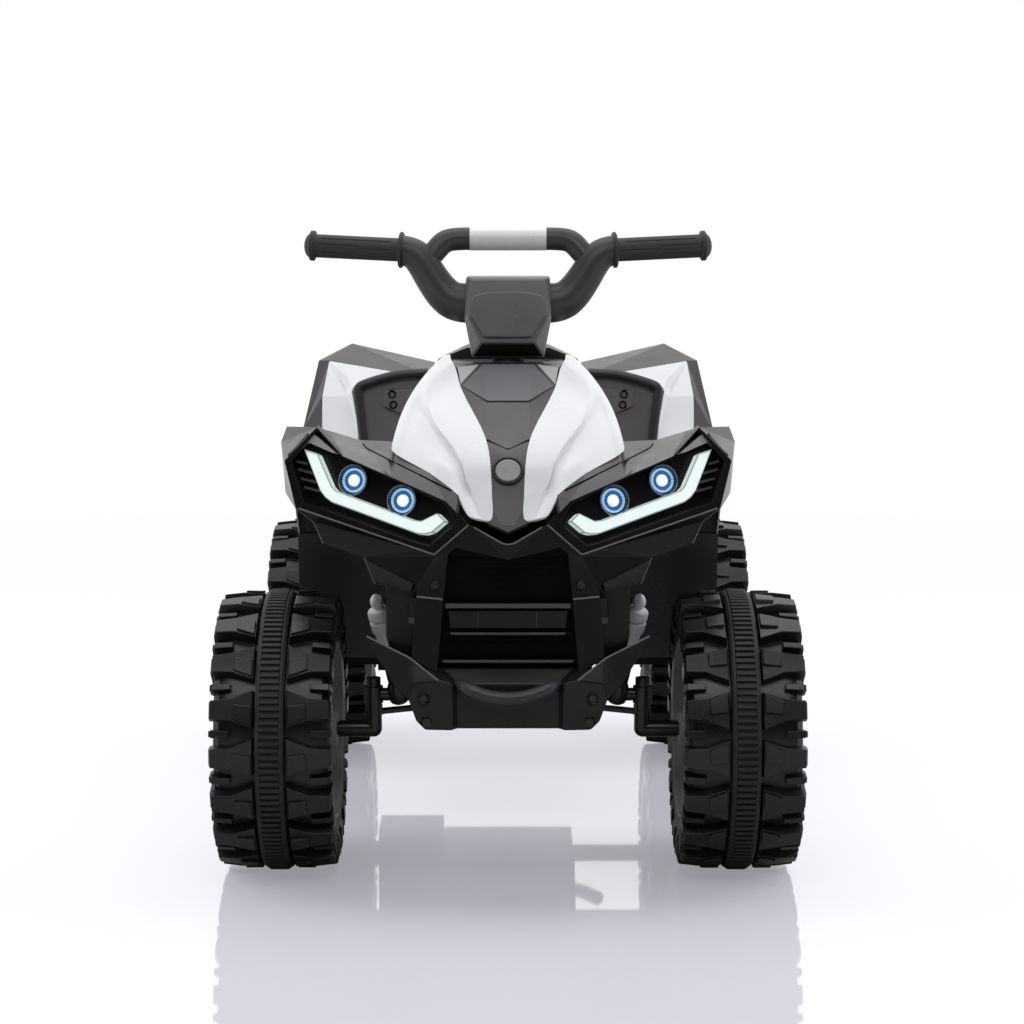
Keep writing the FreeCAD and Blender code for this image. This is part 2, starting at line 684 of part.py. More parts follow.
MUDGUARD = {
    "brow1": lamp_point(37.6, 290), "brow2": lamp_point(45.4, 297.3), "brow3": lamp_point(86.3, 312.8),
    "brow4": lamp_point(122.1, 326.1), "peak": lamp_point(142.1, 346.3), "outer": lamp_point(166.9, 320.8),
    "outer_low": lamp_point(157.7, 286.4),
    "hood3": HOOD["edge3"], "hood2": HOOD["edge2"], "hood1": HOOD["corner"],
    "hood0": fore(85, -20, 329), "hood_rear": fore(87.5, -110, 317),
    "top1": fore(114, -20, 330.4), "top2": fore(137, -20, 337.3),
    "flare1": fore(169.5, -10, 341.7), "flare2": fore(174, -10, 330), "flare3": fore(172, -20, 290),
    "rear2": fore(140, -110, 318), "rear3": fore(172, -105, 312), "rear4": fore(174, -105, 285),
    "skirt_in": fore(72, -150, 240), "skirt_out": fore(174, -150, 240),
}
MUDGUARD_FACETS = (
    ["brow1", "brow2", "hood3"], ["brow2", "brow3", "hood2", "hood3"], ["brow3", "hood1", "hood2"],
    ["brow3", "brow4", "top1", "hood0", "hood1"], ["brow4", "peak", "top2", "top1"],
    ["peak", "flare1", "top2"], ["peak", "outer", "flare2", "flare1"],
    ["outer", "outer_low", "flare3", "flare2"],
    ["hood0", "top1", "rear2", "hood_rear"], ["top1", "top2", "rear2"], ["top2", "flare1", "rear3", "rear2"],
    ["flare1", "flare2", "rear3"], ["flare2", "flare3", "rear4", "rear3"],
    ["hood_rear", "rear2", "rear3", "skirt_out", "skirt_in"], ["rear3", "rear4", "skirt_out"],
)


def make_mudguards(bezel, hood, mask):
    top = thick_panel(MUDGUARD, MUDGUARD_FACETS, Vector(-1.5, 0, -size.wall))
    board = floor_z + size.footboard_thick + size.seat_gap
    foot_y = front_y + size.footboard_front + 2
    low_in = Vector(size.tub_half_width + 1, foot_y, board)
    low_out = Vector(widen(173), foot_y, board)
    skirt = thick_panel({"a": MUDGUARD["skirt_in"], "b": MUDGUARD["skirt_out"], "c": low_out, "d": low_in},
                        (["a", "b", "c", "d"],), Vector(0, -size.wall, 0))
    liner_points = {"a": fore(78, 60, 311), "b": fore(82.5, -20, 322), "c": fore(85.5, -106, 312),
                    "d": fore(66, -106, 217), "e": fore(66, 75, 217), "f": fore(68, 86, 240)}
    liner = thick_panel(liner_points, (["a", "b", "c", "d", "e", "f"],), Vector(-2.5, 0, 0))
    guard = trimmed(top.fuse([skirt, liner]), bezel, hood, mask)
    keep(feature("front_mudguard_left", guard))
    keep(feature("front_mudguard_right", guard.mirror(Vector(), Vector(1, 0, 0))))


MASK = {
    "ridge0": fore(0, 118, 266.8), "ridge": lamp_point(27.5, 281.4), "bridge0": fore(0, 116, 257),
    "bridge": fore(38, 106, 264.6), "lamp_low": lamp_point(53.2, 257.9), "pillar_in": fore(43.4, 104, 259.6),
    "pillar_mid": fore(46.8, 106, 228.4), "pillar_low": fore(51.5, 112, 170.5), "step": fore(66, 100, 236.4),
    "pillar_out": fore(70, 105, 184.5), "lamp_mid": lamp_point(65.5, 261.5),
    "lamp_out": lamp_point(157.7, 286.4), "notch": fore(145, 48, 276), "low": fore(137.5, 50, 259.4),
    "wing": fore(106, 70, 252.3), "wing_low": fore(98, 70, 232.4), "wing_in": fore(70.5, 98, 230.6),
    "sill0": fore(0, 98, 270), "sill": fore(26, 92, 280),
}
MASK_FACETS = (
    ["ridge0", "ridge", "sill", "sill0"],
    ["bridge0", "bridge", "ridge", "ridge0"], ["bridge", "lamp_low", "ridge"],
    ["bridge", "pillar_in", "lamp_low"], ["pillar_in", "pillar_mid", "step", "lamp_low"],
    ["pillar_mid", "pillar_low", "pillar_out", "step"],
    ["lamp_low", "step", "wing", "lamp_mid"], ["lamp_mid", "wing", "low", "notch", "lamp_out"],
    ["step", "wing_in", "wing_low", "wing"],
)
BUMPER = {
    "wing": fore(104.5, 85, 196), "arm": fore(71, 105, 183), "top_out": fore(51.7, 120, 169),
    "top_in": fore(41.7, 120, 166.6), "foot_in": fore(41.7, 120, 131.6), "foot": fore(51, 120, 131.6),
    "foot_out": fore(68.4, 118, 136), "side": fore(77, 110, 152), "elbow": fore(83, 100, 163.5),
    "face_low0": fore(0, 115, 133.3), "face_low": fore(38.5, 115, 133.3), "face_top": fore(38.5, 115, 165.5),
    "face_top0": fore(0, 115, 165.5), "shelf": fore(50, 101, 176), "shelf0": fore(0, 101, 176),
}
BUMPER_FACETS = (
    ["top_in", "foot_in", "foot", "foot_out", "side", "top_out"], ["top_out", "side", "elbow", "arm"],
    ["arm", "elbow", "wing"], ["face_low0", "face_low", "face_top", "face_top0"],
    ["face_low", "foot_in", "top_in", "face_top"], ["face_top0", "face_top", "shelf", "shelf0"],
    ["face_top", "top_in", "shelf"], ["top_in", "top_out", "shelf"],
)
TUB_FRONT = 84.0
BOW_REACH = 126.5
BOW_RADIUS = 4.5
TAIL_REACH = 128.0


def slab(x0, x1, ahead0, ahead1, z0, z1):
    """Box between two stations ahead of the front axle."""
    low = fore(x0, ahead1, z0)
    return Part.makeBox(x1 - x0, ahead1 - ahead0, z1 - z0, low)


def make_nose(bezel):
    mask = symmetric_panel(MASK, MASK_FACETS, Vector(0, 4, 0))
    mask = trimmed(mask, *both_sides(bezel))
    keep(feature("front_mask", mask))
    bumper = symmetric_panel(BUMPER, BUMPER_FACETS, Vector(0, 6, 0))
    for side in (1, -1):
        bumper = bumper.fuse(slab(side * 24 - 8, side * 24 + 8, TUB_FRONT + size.seat_gap, 111, 150, 164))
    half_bow = ((36, 113, 166.5), (31, 123, 164.5), (16, 126, 158.6))
    bow = [fore(-x, a, z) for x, a, z in half_bow] + [fore(0, BOW_REACH, 156.6)]
    bow += [fore(x, a, z) for x, a, z in reversed(half_bow)]
    bumper = bumper.fuse(tube_along(bow, (BOW_RADIUS, BOW_RADIUS)))
    bumper = trimmed(bumper, mask)
    keep(feature("front_bumper", bumper))
    plate = [fore(x, 94, z) for x, z in ((-52, 178), (52, 178), (48, 228), (44, 262), (-44, 262), (-48, 228))]
    grille = polygon(plate).extrude(Vector(0, 94 - TUB_FRONT - size.seat_gap, 0))
    for x, z0, z1 in ((46.3, 219.4, 223.4), (46.3, 199.7, 202.2), (48.5, 179, 182)):
        grille = grille.fuse(slab(-x, x, 93, 103, z0, z1))
    keep(feature("front_grille", trimmed(grille.removeSplitter(), mask, bumper)))
    return mask, bumper


# Rear body
FENDER = {
    "guard_in": aft(70, -86, 357), "guard_out": aft(98.5, -88, 360.5), "front_out": aft(165, -35, 367.5),
    "peak": aft(146, 5, 381), "ridge_in": aft(68, -25, 365.5), "trim_top": aft(175, -25, 367),
    "trim_low": aft(176, -40, 336), "insert_mid": aft(170.5, -50, 336), "insert_low": aft(171, -60, 310),
    "flare": aft(189, -45, 304), "flare_rear": aft(190, 60, 300), "rear_out": aft(172, 100, 338),
    "rear_peak": aft(138, 105, 345), "rear_in": aft(67, 108, 323), "tail_out": aft(180, 118, 285),
    "tail_mid": aft(140, 126, 300), "tail_in": aft(72, 126, 300), "skirt_front": aft(184, -64, 262),
    "skirt_rear": aft(186, 50, 258), "skirt_in": aft(168, -80, 262),
}
FENDER_FACETS = (
    ["guard_in", "guard_out", "front_out", "peak", "ridge_in"], ["front_out", "trim_top", "peak"],
    ["ridge_in", "peak", "rear_peak", "rear_in"], ["peak", "trim_top", "rear_out", "rear_peak"],
    ["trim_top", "trim_low", "flare", "flare_rear", "rear_out"],
    ["front_out", "insert_mid", "trim_low", "trim_top"], ["insert_mid", "insert_low", "flare", "trim_low"],
    ["rear_in", "rear_peak", "tail_mid", "tail_in"], ["rear_peak", "rear_out", "tail_out", "tail_mid"],
    ["rear_out", "flare_rear", "tail_out"], ["flare", "skirt_front", "skirt_rear", "flare_rear"],
    ["insert_low", "skirt_in", "skirt_front", "flare"],
)
INSERT = {
    "guard_out": FENDER["guard_out"], "inner": aft(141, -80, 345.5), "front_out": FENDER["front_out"],
    "low_in": aft(133.3, -90, 300.5), "low_out": FENDER["insert_low"], "mid_out": FENDER["insert_mid"],
    "ledge_in": aft(133.3, -97, 296.5), "ledge_out": aft(165.5, -97, 294),
}
INSERT_FACETS = (["guard_out", "inner", "front_out"], ["inner", "mid_out", "front_out"],
                 ["inner", "low_in", "low_out", "mid_out"], ["low_in", "ledge_in", "ledge_out", "low_out"])
GUARD_OUTLINE = ((62.5, 134.3), (62.5, 215), (79.5, 283.5), (72, 300), (70.5, 355), (98, 358.8), (140.5, 344),
                 (133, 299.5), (166, 296), (164, 134.3))


def guard_point(x, z, forward=0.0):
    """Leaning plane of the leg guard."""
    behind = -120 + 0.1295 * (z - 134) - forward
    return aft(x, behind, z)


def make_rear_body():
    insert = thick_panel(INSERT, INSERT_FACETS, Vector(-1, 2.5, -1.5))
    shell = thick_panel(FENDER, FENDER_FACETS, Vector(-1.5, 0, -size.wall))
    wall_points = {"a": FENDER["guard_in"], "b": FENDER["ridge_in"], "c": FENDER["rear_in"],
                   "d": FENDER["tail_in"], "e": aft(81, 80, 283.5), "f": aft(81, -86, 283.5)}
    wall_facets = (["a", "b", "f"], ["b", "c", "e", "f"], ["c", "d", "e"])
    inner_wall = thick_panel(wall_points, wall_facets, Vector(2.5, 0, 0))
    shell = trimmed(shell.fuse(inner_wall), insert)
    face = polygon([guard_point(x, z) for x, z in GUARD_OUTLINE])
    guard = trimmed(face.extrude(Vector(0, size.wall, 0)), shell, insert)
    for label, shape in (("rear_fender", shell), ("fender_insert", insert), ("leg_guard", guard)):
        keep(feature(label + "_left", shape))
        keep(feature(label + "_right", shape.mirror(Vector(), Vector(1, 0, 0))))
    return shell


def seat_section(y, half, bottom, top):
    """Crowned cross-section with rounded shoulders."""
    return both_halves([(half - 6, bottom), (half, bottom + 7), (half - 1, top - 13),
                        (half - 8, top - 4), (0.4 * half, top)], y)


def make_seat_and_covers():
    top = 282 + lift
    front = front_y + 75
    foot = tub_top + size.seat_gap
    centre = cover(((front, ((size.tub_half_width, foot), (78, top))),
                    (rear_y + 84, ((size.tub_half_width, foot), (66, top)))), size.wall)
    low = top + size.seat_gap
    tank_sections = ((113, (79, 82.5, 56, 33), (318, 387, 396)), (125, (79, 81, 52, 33), (318, 389, 398)),
                     (170, (77, 76, 50, 38), (310, 345, 350)), (212, (70, 68, 58, 50), (292, 303, 306)))
    tank = cover([(front_y + back, list(zip(halves, [low] + [z + lift for z in heights])))
                  for back, halves, heights in tank_sections], size.wall)
    seat_front = front_y + 215
    seat_rear = rear_y - 15
    span = seat_rear - seat_front
    stations = ((0, 52, 305), (0.3, 61, 297), (0.65, 67, 299), (0.9, 66, 312), (1, 58, 321))
    seat = loft([seat_section(seat_front + share * span, half, low, z + lift) for share, half, z in stations])
    tail_sections = ((-12, 0, (64, 52), 325), (20, 0, (65, 50), 329), (100, 0, (62, 46), 317),
                     (TAIL_REACH, 6, (54, 40), 305))
    tail = cover([(rear_y + behind, ((halves[0], low + rise), (halves[1], z + lift)))
                  for behind, rise, halves, z in tail_sections], size.wall)
    keep(feature("centre_body", centre))
    keep(feature("seat", seat))
    lamp_depth = BOW_REACH + BOW_RADIUS - TAIL_REACH - size.seat_gap
    lamp = Part.makeBox(24, lamp_depth, 11, Vector(14, rear_y + TAIL_REACH + size.seat_gap, low + 8))
    keep(feature("tail_cover", tail))
    keep(group("tail_lights", *both_sides(lamp)))
    return tank


def make_controls(tank):
    """Power button and direction switch in the slope of the tank cover, facing the rider."""
    slope = (Vector(0, front_y + 170, 350) - Vector(0, front_y + 125, 398)).normalize()
    normal = Vector(1, 0, 0).cross(slope)
    normal = normal if normal.z > 0 else -normal
    middle = Vector(0, front_y + 147.5, 374 + lift)
    button_seat = middle + Vector(17, 0, 0)
    switch_seat = middle - Vector(17, 0, 0)
    hole = Part.makeCylinder(size.button_radius + size.control_gap, 30, button_seat - normal * 15, normal)
    turn = Rotation(Vector(1, 0, 0), Vector(), normal, "XZY")
    length = size.rocker_length + 3 * size.control_gap
    width = size.rocker_width + 2 * size.control_gap
    slot = Part.makeBox(width, length, 30, Vector(-width / 2, -length / 2, -15))
    slot.Placement = Placement(switch_seat, turn)
    keep(feature("tank_cover", tank.cut(hole).cut(slot)))
    button = cylinder("power_button", button_seat - normal * 9, normal, Radius="button_radius", Height="13.5")
    keep(button)
    half = size.rocker_length / 2
    side = ((-half, -8), (half, -8), (half, 3.2), (0, 1.8), (-half, 3.2))
    face = polygon([Vector(-size.rocker_width / 2, y, z) for y, z in side])
    rocker = feature("direction_switch", face.extrude(Vector(size.rocker_width, 0, 0)))
    rocker.Placement = Placement(switch_seat, turn)
    keep(rocker)


def make_tub():
    """Hollow tub with footboards, beam slot, pedal ears and shock bosses."""
    low = axle_z - size.tub_rear_drop
    front = front_y - TUB_FRONT
    back = rear_y + 85
    side = [(front, floor_z + 20), (front + 14, floor_z), (rear_y - 112, floor_z), (rear_y - 72, low),
            (rear_y + 60, low), (back, low + 50), (back, tub_top), (front, tub_top)]
    wall = size.wall
    hollow = [(front + wall, floor_z + 21), (front + 15, floor_z + wall), (rear_y - 111, floor_z + wall),
              (rear_y - 71, low + wall), (rear_y + 59, low + wall), (back - wall, low + 51),
              (back - wall, tub_top + 5), (front + wall, tub_top + 5)]
    body = doc.addObject("PartDesign::Body", "tub_body")
    pad = body.newObject("PartDesign::Pad", "tub_pad")
    pad.Profile = sketch_on(body, "tub_side", "YZ_Plane", [side])
    pad.Midplane = True
    bind(pad, Length="2 * tub_half_width")
    pocket = body.newObject("PartDesign::Pocket", "tub_hollow")
    pocket.Profile = sketch_on(body, "tub_inside", "YZ_Plane", [hollow])
    pocket.Midplane = True
    bind(pocket, Length="2 * tub_half_width - 2 * wall")
    body.Tip = pocket
    doc.recompute()
    shape = body.Shape.copy()
    inner = size.tub_half_width - 1
    outer = widen(size.footboard_half_width)
    start = board_start
    stop = board_stop
    board = Part.makeBox(outer - inner, stop - start, size.footboard_thick, Vector(inner, start, floor_z))
    board_top = floor_z + size.footboard_thick
    lip = Part.makeBox(wall, stop - start - 44, 9, Vector(outer - wall, start + 22, board_top))
    board = board.fuse(lip)
    rib_count = 6
    for index in range(rib_count):
        y = start + 22 + (stop - start - 60) * index / (rib_count - 1)
        rib = Part.makeBox(34, 4, 2, Vector(outer - 42, y, board_top))
        board = board.fuse(rib)
    top = shock_top()
    boss_start = size.tub_half_width - 1
    boss_length = top.x - SHOCK_BALL - boss_start
    boss = Part.makeCylinder(3.5, boss_length, Vector(boss_start, top.y, top.z), Vector(1, 0, 0))
    shape = shape.fuse(both_sides(board) + both_sides(boss))
    across = Vector(1, 0, 0)
    slot_half = size.beam_radius + size.seat_gap
    slot_height = size.beam_rise - size.tub_floor_rise + size.beam_radius + 1
    beam_slot = Part.makeBox(400, 2 * slot_half, slot_height, Vector(-200, front_y - slot_half, floor_z - 1))
    column_hole = Part.makeCylinder(size.column_radius + 3, 20, column_point(floor_z - 8), column_axis)
    axle_hole = Part.makeCylinder(size.axle_radius + size.seat_gap, 400, Vector(-200, rear_y, axle_z), across)
    motor_start = gear_axes["pinion"] - across * (size.tub_half_width + 10)
    motor_hole = Part.makeCylinder(size.motor_radius + 0.5, 20, motor_start, across)
    for tool in (beam_slot, column_hole, axle_hole, motor_hole):
        shape = shape.cut(tool)
    ear = Part.makeBox(4, 12, 11, Vector(0, -6, 0))
    pin_start = Vector(-size.pedal_width / 2 - 4.5, 0, PEDAL_AXIS_RISE)
    pin = Part.makeCylinder(2, size.pedal_width + 9, pin_start, across)
    mount = pedal_seat()
    for x in (-size.pedal_width / 2 - 4.5, size.pedal_width / 2 + 0.5):
        placed = ear.copy()
        placed.translate(mount + Vector(x, 0, 0))
        shape = shape.fuse(placed)
    pin.translate(mount)
    keep(feature("chassis_tub", shape.fuse(pin).removeSplitter()))


PEDAL_AXIS_RISE = 6.0
PEDAL_TILT = 12.0
PEDAL_NOSE = 3.0
board_start = front_y + size.footboard_front
board_stop = rear_y - size.tyre_radius - size.tyre_clearance


def pedal_seat():
    """Place on the right footboard under the pedal's pivot."""
    outer = widen(size.footboard_half_width)
    middle = (size.tub_half_width + outer) / 2
    return Vector(-middle, board_stop - size.pedal_rear_gap, floor_z + size.footboard_thick)


def make_pedal():
    pivot = pedal_seat() + Vector(0, 0, PEDAL_AXIS_RISE)
    half = size.pedal_width / 2
    length = pivot.y - board_start - size.pedal_front_gap - PEDAL_NOSE
    side = ((0, -2.5), (0, 2.5), (-length, 2.5), (-length - PEDAL_NOSE, 0), (-length, -2.5))
    plate = polygon([Vector(-half, y, z) for y, z in side]).extrude(Vector(size.pedal_width, 0, 0))
    pedal = plate.fuse(Part.makeCylinder(4.6, size.pedal_width, Vector(-half, 0, 0), Vector(1, 0, 0)))
    rib_count = 7
    for index in range(rib_count):
        y = -12 - (length - 17) * index / (rib_count - 1)
        pedal = pedal.fuse(Part.makeBox(size.pedal_width - 8, 4, 1.5, Vector(4 - half, y - 2, 2.5)))
    pedal = pedal.cut(Part.makeCylinder(2 + size.run_gap, 200, Vector(-100, 0, 0), Vector(1, 0, 0)))
    obj = keep(feature("accelerator_pedal", pedal.removeSplitter()))
    obj.Placement = Placement(pivot, Rotation(Vector(1, 0, 0), -PEDAL_TILT))


# Drive: battery, motor and two gear pairs beside the right rear wheel
wheel_pair = size.gear_module * (size.drive_teeth + size.small_teeth) / 2
motor_pair = size.fine_module * (size.large_teeth + size.pinion_teeth) / 2
gear_axes = {"drive": Vector(0, rear_y, axle_z)}
WHEEL_PAIR_ANGLE = math.radians(120)
MOTOR_PAIR_ANGLE = math.radians(100)


def along(angle):
    """Unit vector in the side plane, the angle taken from +y towards +z."""
    return Vector(0, math.cos(angle), math.sin(angle))


gear_axes["idle"] = gear_axes["drive"] + along(WHEEL_PAIR_ANGLE) * wheel_pair
gear_axes["pinion"] = gear_axes["idle"] + along(MOTOR_PAIR_ANGLE) * motor_pair
CASE_OUTER = tyre_inner - 8
GEAR_PLANE = CASE_OUTER - size.wall - 2


def gear_shape(module, teeth, phase, x, width):
    """Spur gear round an axis along x: straight-sided flanks through three involute points."""
    pitch = module * teeth / 2
    base = pitch * math.cos(math.radians(20))
    points = []
    for index in range(int(teeth)):
        middle = phase + 2 * math.pi * index / teeth
        flank = []
        for radius in (pitch - 1.3 * module, max(base, pitch - 0.55 * module), pitch, pitch + 0.8 * module):
            drop = math.acos(min(1.0, base / radius))
            spread_angle = math.tan(drop) - drop
            pitch_angle = math.tan(math.radians(20)) - math.radians(20)
            half = math.pi / (2 * teeth) - size.backlash / (2 * pitch) + pitch_angle - spread_angle
            flank.append((radius, half))
        points += [along(middle - half) * radius for radius, half in flank]
        points += [along(middle + half) * radius for radius, half in reversed(flank)]
    face = polygon(points)
    face.translate(Vector(x, 0, 0))
    return face.extrude(Vector(width, 0, 0))


def make_drive():
    drive, idle, pinion = gear_axes["drive"], gear_axes["idle"], gear_axes["pinion"]
    step = Vector(1, 0, 0)
    first = -GEAR_PLANE
    second = first + size.gear_width + 3
    wheel_gear = gear_shape(size.gear_module, size.drive_teeth, WHEEL_PAIR_ANGLE, first, size.gear_width)
    hub_end = -(half_track - size.rim_width / 2)
    hub_face = hub_end + size.seat_gap
    sleeve = Part.makeCylinder(12, first + 1 - hub_face, Vector(hub_face, 0, 0), step)
    bore = Part.makeCylinder(size.axle_radius + size.run_gap, 200, Vector(-200, 0, 0), step)
    obj = keep(feature("drive_gear", wheel_gear.fuse(sleeve).cut(bore)))
    obj.Placement = Placement(drive, Rotation())
    small_phase = WHEEL_PAIR_ANGLE + math.pi + math.pi / size.small_teeth
    small = gear_shape(size.gear_module, size.small_teeth, small_phase, first - 0.5, size.gear_width + 3.5)
    large = gear_shape(size.fine_module, size.large_teeth, MOTOR_PAIR_ANGLE, second, size.gear_width)
    idle_bore = Part.makeCylinder(3 + size.run_gap, 200, Vector(-200, 0, 0), step)
    obj = keep(feature("reduction_gear", small.fuse(large).cut(idle_bore)))
    obj.Placement = Placement(idle, Rotation())
    pinion_phase = MOTOR_PAIR_ANGLE + math.pi + math.pi / size.pinion_teeth
    tooth = gear_shape(size.fine_module, size.pinion_teeth, pinion_phase, second - 0.5, size.gear_width + 1)
    motor_face = second + size.gear_width + 5
    shaft = Part.makeCylinder(2, motor_face - second - size.seat_gap, Vector(second, 0, 0), step)
    obj = keep(feature("motor_pinion", tooth.fuse(shaft)))
    obj.Placement = Placement(pinion, Rotation())
    motor_seat = pinion + step * motor_face
    keep(cylinder("gear_motor", motor_seat, step, Radius="motor_radius", Height="motor_length"))
    reach = size.drive_teeth * size.gear_module / 2 + 7
    top = pinion.z - axle_z + size.motor_radius + 10
    front = max(reach, rear_y - pinion.y + size.motor_radius + 6)
    front = max(front, rear_y - idle.y + size.large_teeth * size.fine_module / 2 + 7)
    outline = ((-front, 12 - reach), (12 - front, -reach), (reach - 12, -reach), (reach, 12 - reach),
               (reach, top - 12), (reach - 12, top), (12 - front, top), (-front, top - 12))
    back = -size.tub_half_width
    rim = polygon([drive + Vector(-CASE_OUTER, y, z) for y, z in outline])
    outer = rim.extrude(step * (CASE_OUTER + back))
    thin = 1 - size.wall / reach
    inner = polygon([drive + Vector(size.wall - CASE_OUTER, y * thin, z * thin) for y, z in outline])
    case = outer.cut(inner.extrude(step * 100))
    case = case.cut(Part.makeCylinder(12.4, 20, drive - Vector(CASE_OUTER + 5, 0, 0), step))
    case = case.fuse(Part.makeCylinder(3, size.wall + 30, idle - Vector(CASE_OUTER - 1, 0, 0), step))
    keep(feature("gear_case", case))
    length = 2 * (half_track + 28)
    rod = cylinder("axle_rod", Vector(-length / 2, rear_y, axle_z), step, Radius="axle_radius",
                   Height="track + 56")
    spacer = cylinder("axle_spacer", Vector(size.tub_half_width + size.seat_gap, rear_y, axle_z), step,
                      Radius="axle_radius + 3",
                      Height="track / 2 - rim_width / 2 - tub_half_width - 2 * seat_gap")
    keep(fuse("rear_axle", rod, spacer))
    battery = doc.addObject("Part::Box", "battery")
    seat = Vector(-size.battery_width / 2, -30, floor_z + size.wall + size.seat_gap)
    battery.Placement = Placement(seat, Rotation())
    keep(bind(battery, Length="battery_width", Width="battery_length", Height="battery_height"))


def make_rear_bumper():
    y = rear_y + 85 + size.seat_gap
    z = axle_z + 72
    points = [Vector(x, y + d, z) for x, d in ((-90, 6), (-70, 38), (70, 38), (90, 6))]
    bar = tube_along(rounded_path(points, 18), (7, 7))
    for side in (1, -1):
        bar = bar.fuse(Part.makeBox(14, 34, 10, Vector(side * 40 - 7, y, z - 5)))
    keep(feature("rear_bumper", bar.removeSplitter()))


# Handlebar and stem, drawn on the raked steering axis
def column_bore(z):
    """Room for the steering column round a height."""
    return Part.makeCylinder(size.column_radius + size.seat_gap, 200, column_point(z - 120), column_axis)


def make_handlebar():
    low = bar_z
    high = low + size.bar_lift
    axis_y = column_point(low).y + 1
    start = size.grip_start
    tilt = 0.045
    corner_x = size.grip_start - 11.3
    end = start + size.grip_length

    def bar(x, z, back=0.0):
        return Vector(x, axis_y + back, z)

    tube_end = bar(start + 4, high + tilt * 15, 5)
    half_path = [bar(0, low), bar(corner_x - 23.7, low), bar(corner_x, high, 3), tube_end]
    left = tube_along(rounded_path(half_path, 20), (size.tube_radius_inner, size.tube_radius_outer))
    core_from = bar(start + 2, high + tilt * 13, 5)
    core_to = bar(end - 2, high + tilt * (end - corner_x), 12)
    core_length = (core_to - core_from).Length
    core = Part.makeCylinder(size.grip_radius - 2.5, core_length, core_from, core_to - core_from)
    cross_z = low + size.crossbar_rise
    cross = [bar(0, cross_z, 12), bar(corner_x - 26, cross_z, 12), bar(corner_x - 9, high - 8, 3)]
    brace = tube_along(rounded_path(cross, 14), (size.crossbar_radius, size.crossbar_radius))
    half_shape = left.fuse([core, brace])
    whole = half_shape.fuse(half_shape.mirror(Vector(), Vector(1, 0, 0)))
    sleeve_half = size.sleeve_half_length
    middle = bar(-sleeve_half, cross_z, 12)
    thin = size.crossbar_radius - 1.5
    neck = Part.makeCylinder(thin, 2 * sleeve_half, middle, Vector(1, 0, 0))
    room = Part.makeCylinder(size.crossbar_radius + 2, 2 * sleeve_half, middle, Vector(1, 0, 0))
    whole = whole.cut(room).fuse(neck)
    keep(feature("handlebar", whole.cut(column_bore(low)).removeSplitter()))
    across = Vector(1, 0, 0)
    ring_length = 2 * (sleeve_half - size.seat_gap)
    ring = Part.makeCylinder(size.crossbar_radius + 0.3, ring_length, middle + across * size.seat_gap, across)
    hole = Part.makeCylinder(thin + 0.1, 2 * sleeve_half, middle, across)
    keep(feature("crossbar_sleeve", ring.cut(hole)))
    grip_axis = (core_to - core_from).normalize()
    length = (core_to - tube_end).Length + 4
    radius = size.grip_radius
    profile = ((0.3, 0), (0.3, size.flange_radius), (3.3, size.flange_radius), (3.6, radius),
               (length - 9, radius), (length - 8.7, radius + 2.5), (length - 5, radius + 2.5),
               (length - 4, radius), (length - 1, 5), (length, 0))
    grip = polygon([Vector(r, 0, d) for d, r in profile]).revolve(Vector(), Vector(0, 0, 1), 360)
    grip.Placement = Placement(tube_end, Rotation(Vector(0, 0, 1), grip_axis))
    core_hole = Part.makeCylinder(radius - 2.4, core_length + 0.3, core_from, grip_axis)
    grip = grip.cut(core_hole).cut(left)
    keep(group("grips", *both_sides(main_solid(grip))))
    return whole


def stem_section(z, half, front, back, bevel):
    """Rectangle with cut corners across the steering axis."""
    axis_y = column_point(z).y
    right = [(half - bevel, -front), (half, bevel - front), (half, back - bevel), (half - bevel, back)]
    points = right + [(-x, y) for x, y in reversed(right)]
    return [Vector(x, axis_y + y, z) for x, y in points]


def make_stem(bars):
    low = bar_z
    foot = size.stem_gap - size.bar_rise
    levels = ((foot, 25, 18, 22, 8), (-18, 31, 26, 28, 7), (-10, 33, 27, 29, 7),
              (16, 33, 24, 28, 8), (21, 29, 20, 24, 9))
    stem = loft([stem_section(low + rise, *shape) for rise, *shape in levels], True)
    stem = trimmed(stem, bars, column_bore(low))
    window = ((-22, -25), (22, -25), (26, -2), (22, 8), (-22, 8), (-26, -2))
    face = polygon([Vector(x, column_point(low).y - 60, low + z) for x, z in window])
    panel = face.extrude(Vector(0, 60 - 23.5, 0))
    keep(feature("stem_cover", main_solid(stem.cut(panel)).removeSplitter()))


def facet_spot(points, names, x, z):
    """Point of a facet at a place in front view, and the facet's outward normal."""
    a, b, c = (points[name] for name in names)
    normal = (b - a).cross(c - a).normalize()
    normal = normal if normal.y < 0 else -normal
    y = a.y - (normal.x * (x - a.x) + normal.z * (z - a.z)) / normal.y
    return Vector(x, y, z), normal


def make_screws(mask, bumper):
    """Visible heads on the pillars, the bumper and the leg guards."""
    heads = []
    spots = ((MASK, ("pillar_in", "pillar_mid", "step"), 52.5, 237, 3),
             (BUMPER, ("top_in", "foot_out", "side"), 60.5, 154.5, size.screw_radius),
             (BUMPER, ("top_in", "foot", "foot_out"), 58.5, 138.5, 3.2))
    for points, names, x, z, radius in spots:
        spot, normal = facet_spot(points, names, x, z + lift)
        head = Part.makeCylinder(radius, 1.6, spot + normal * size.seat_gap, normal)
        heads += both_sides(trimmed(head, mask, bumper))
    face = (guard_point(100, 330), guard_point(110, 330), guard_point(100, 340))
    normal = (face[1] - face[0]).cross(face[2] - face[0]).normalize()
    for z in (331, 341):
        spot = guard_point(104.5, z) + normal * size.seat_gap
        heads += both_sides(Part.makeCylinder(size.screw_radius, 1.6, spot, normal))
    keep(group("body_screws", *heads))


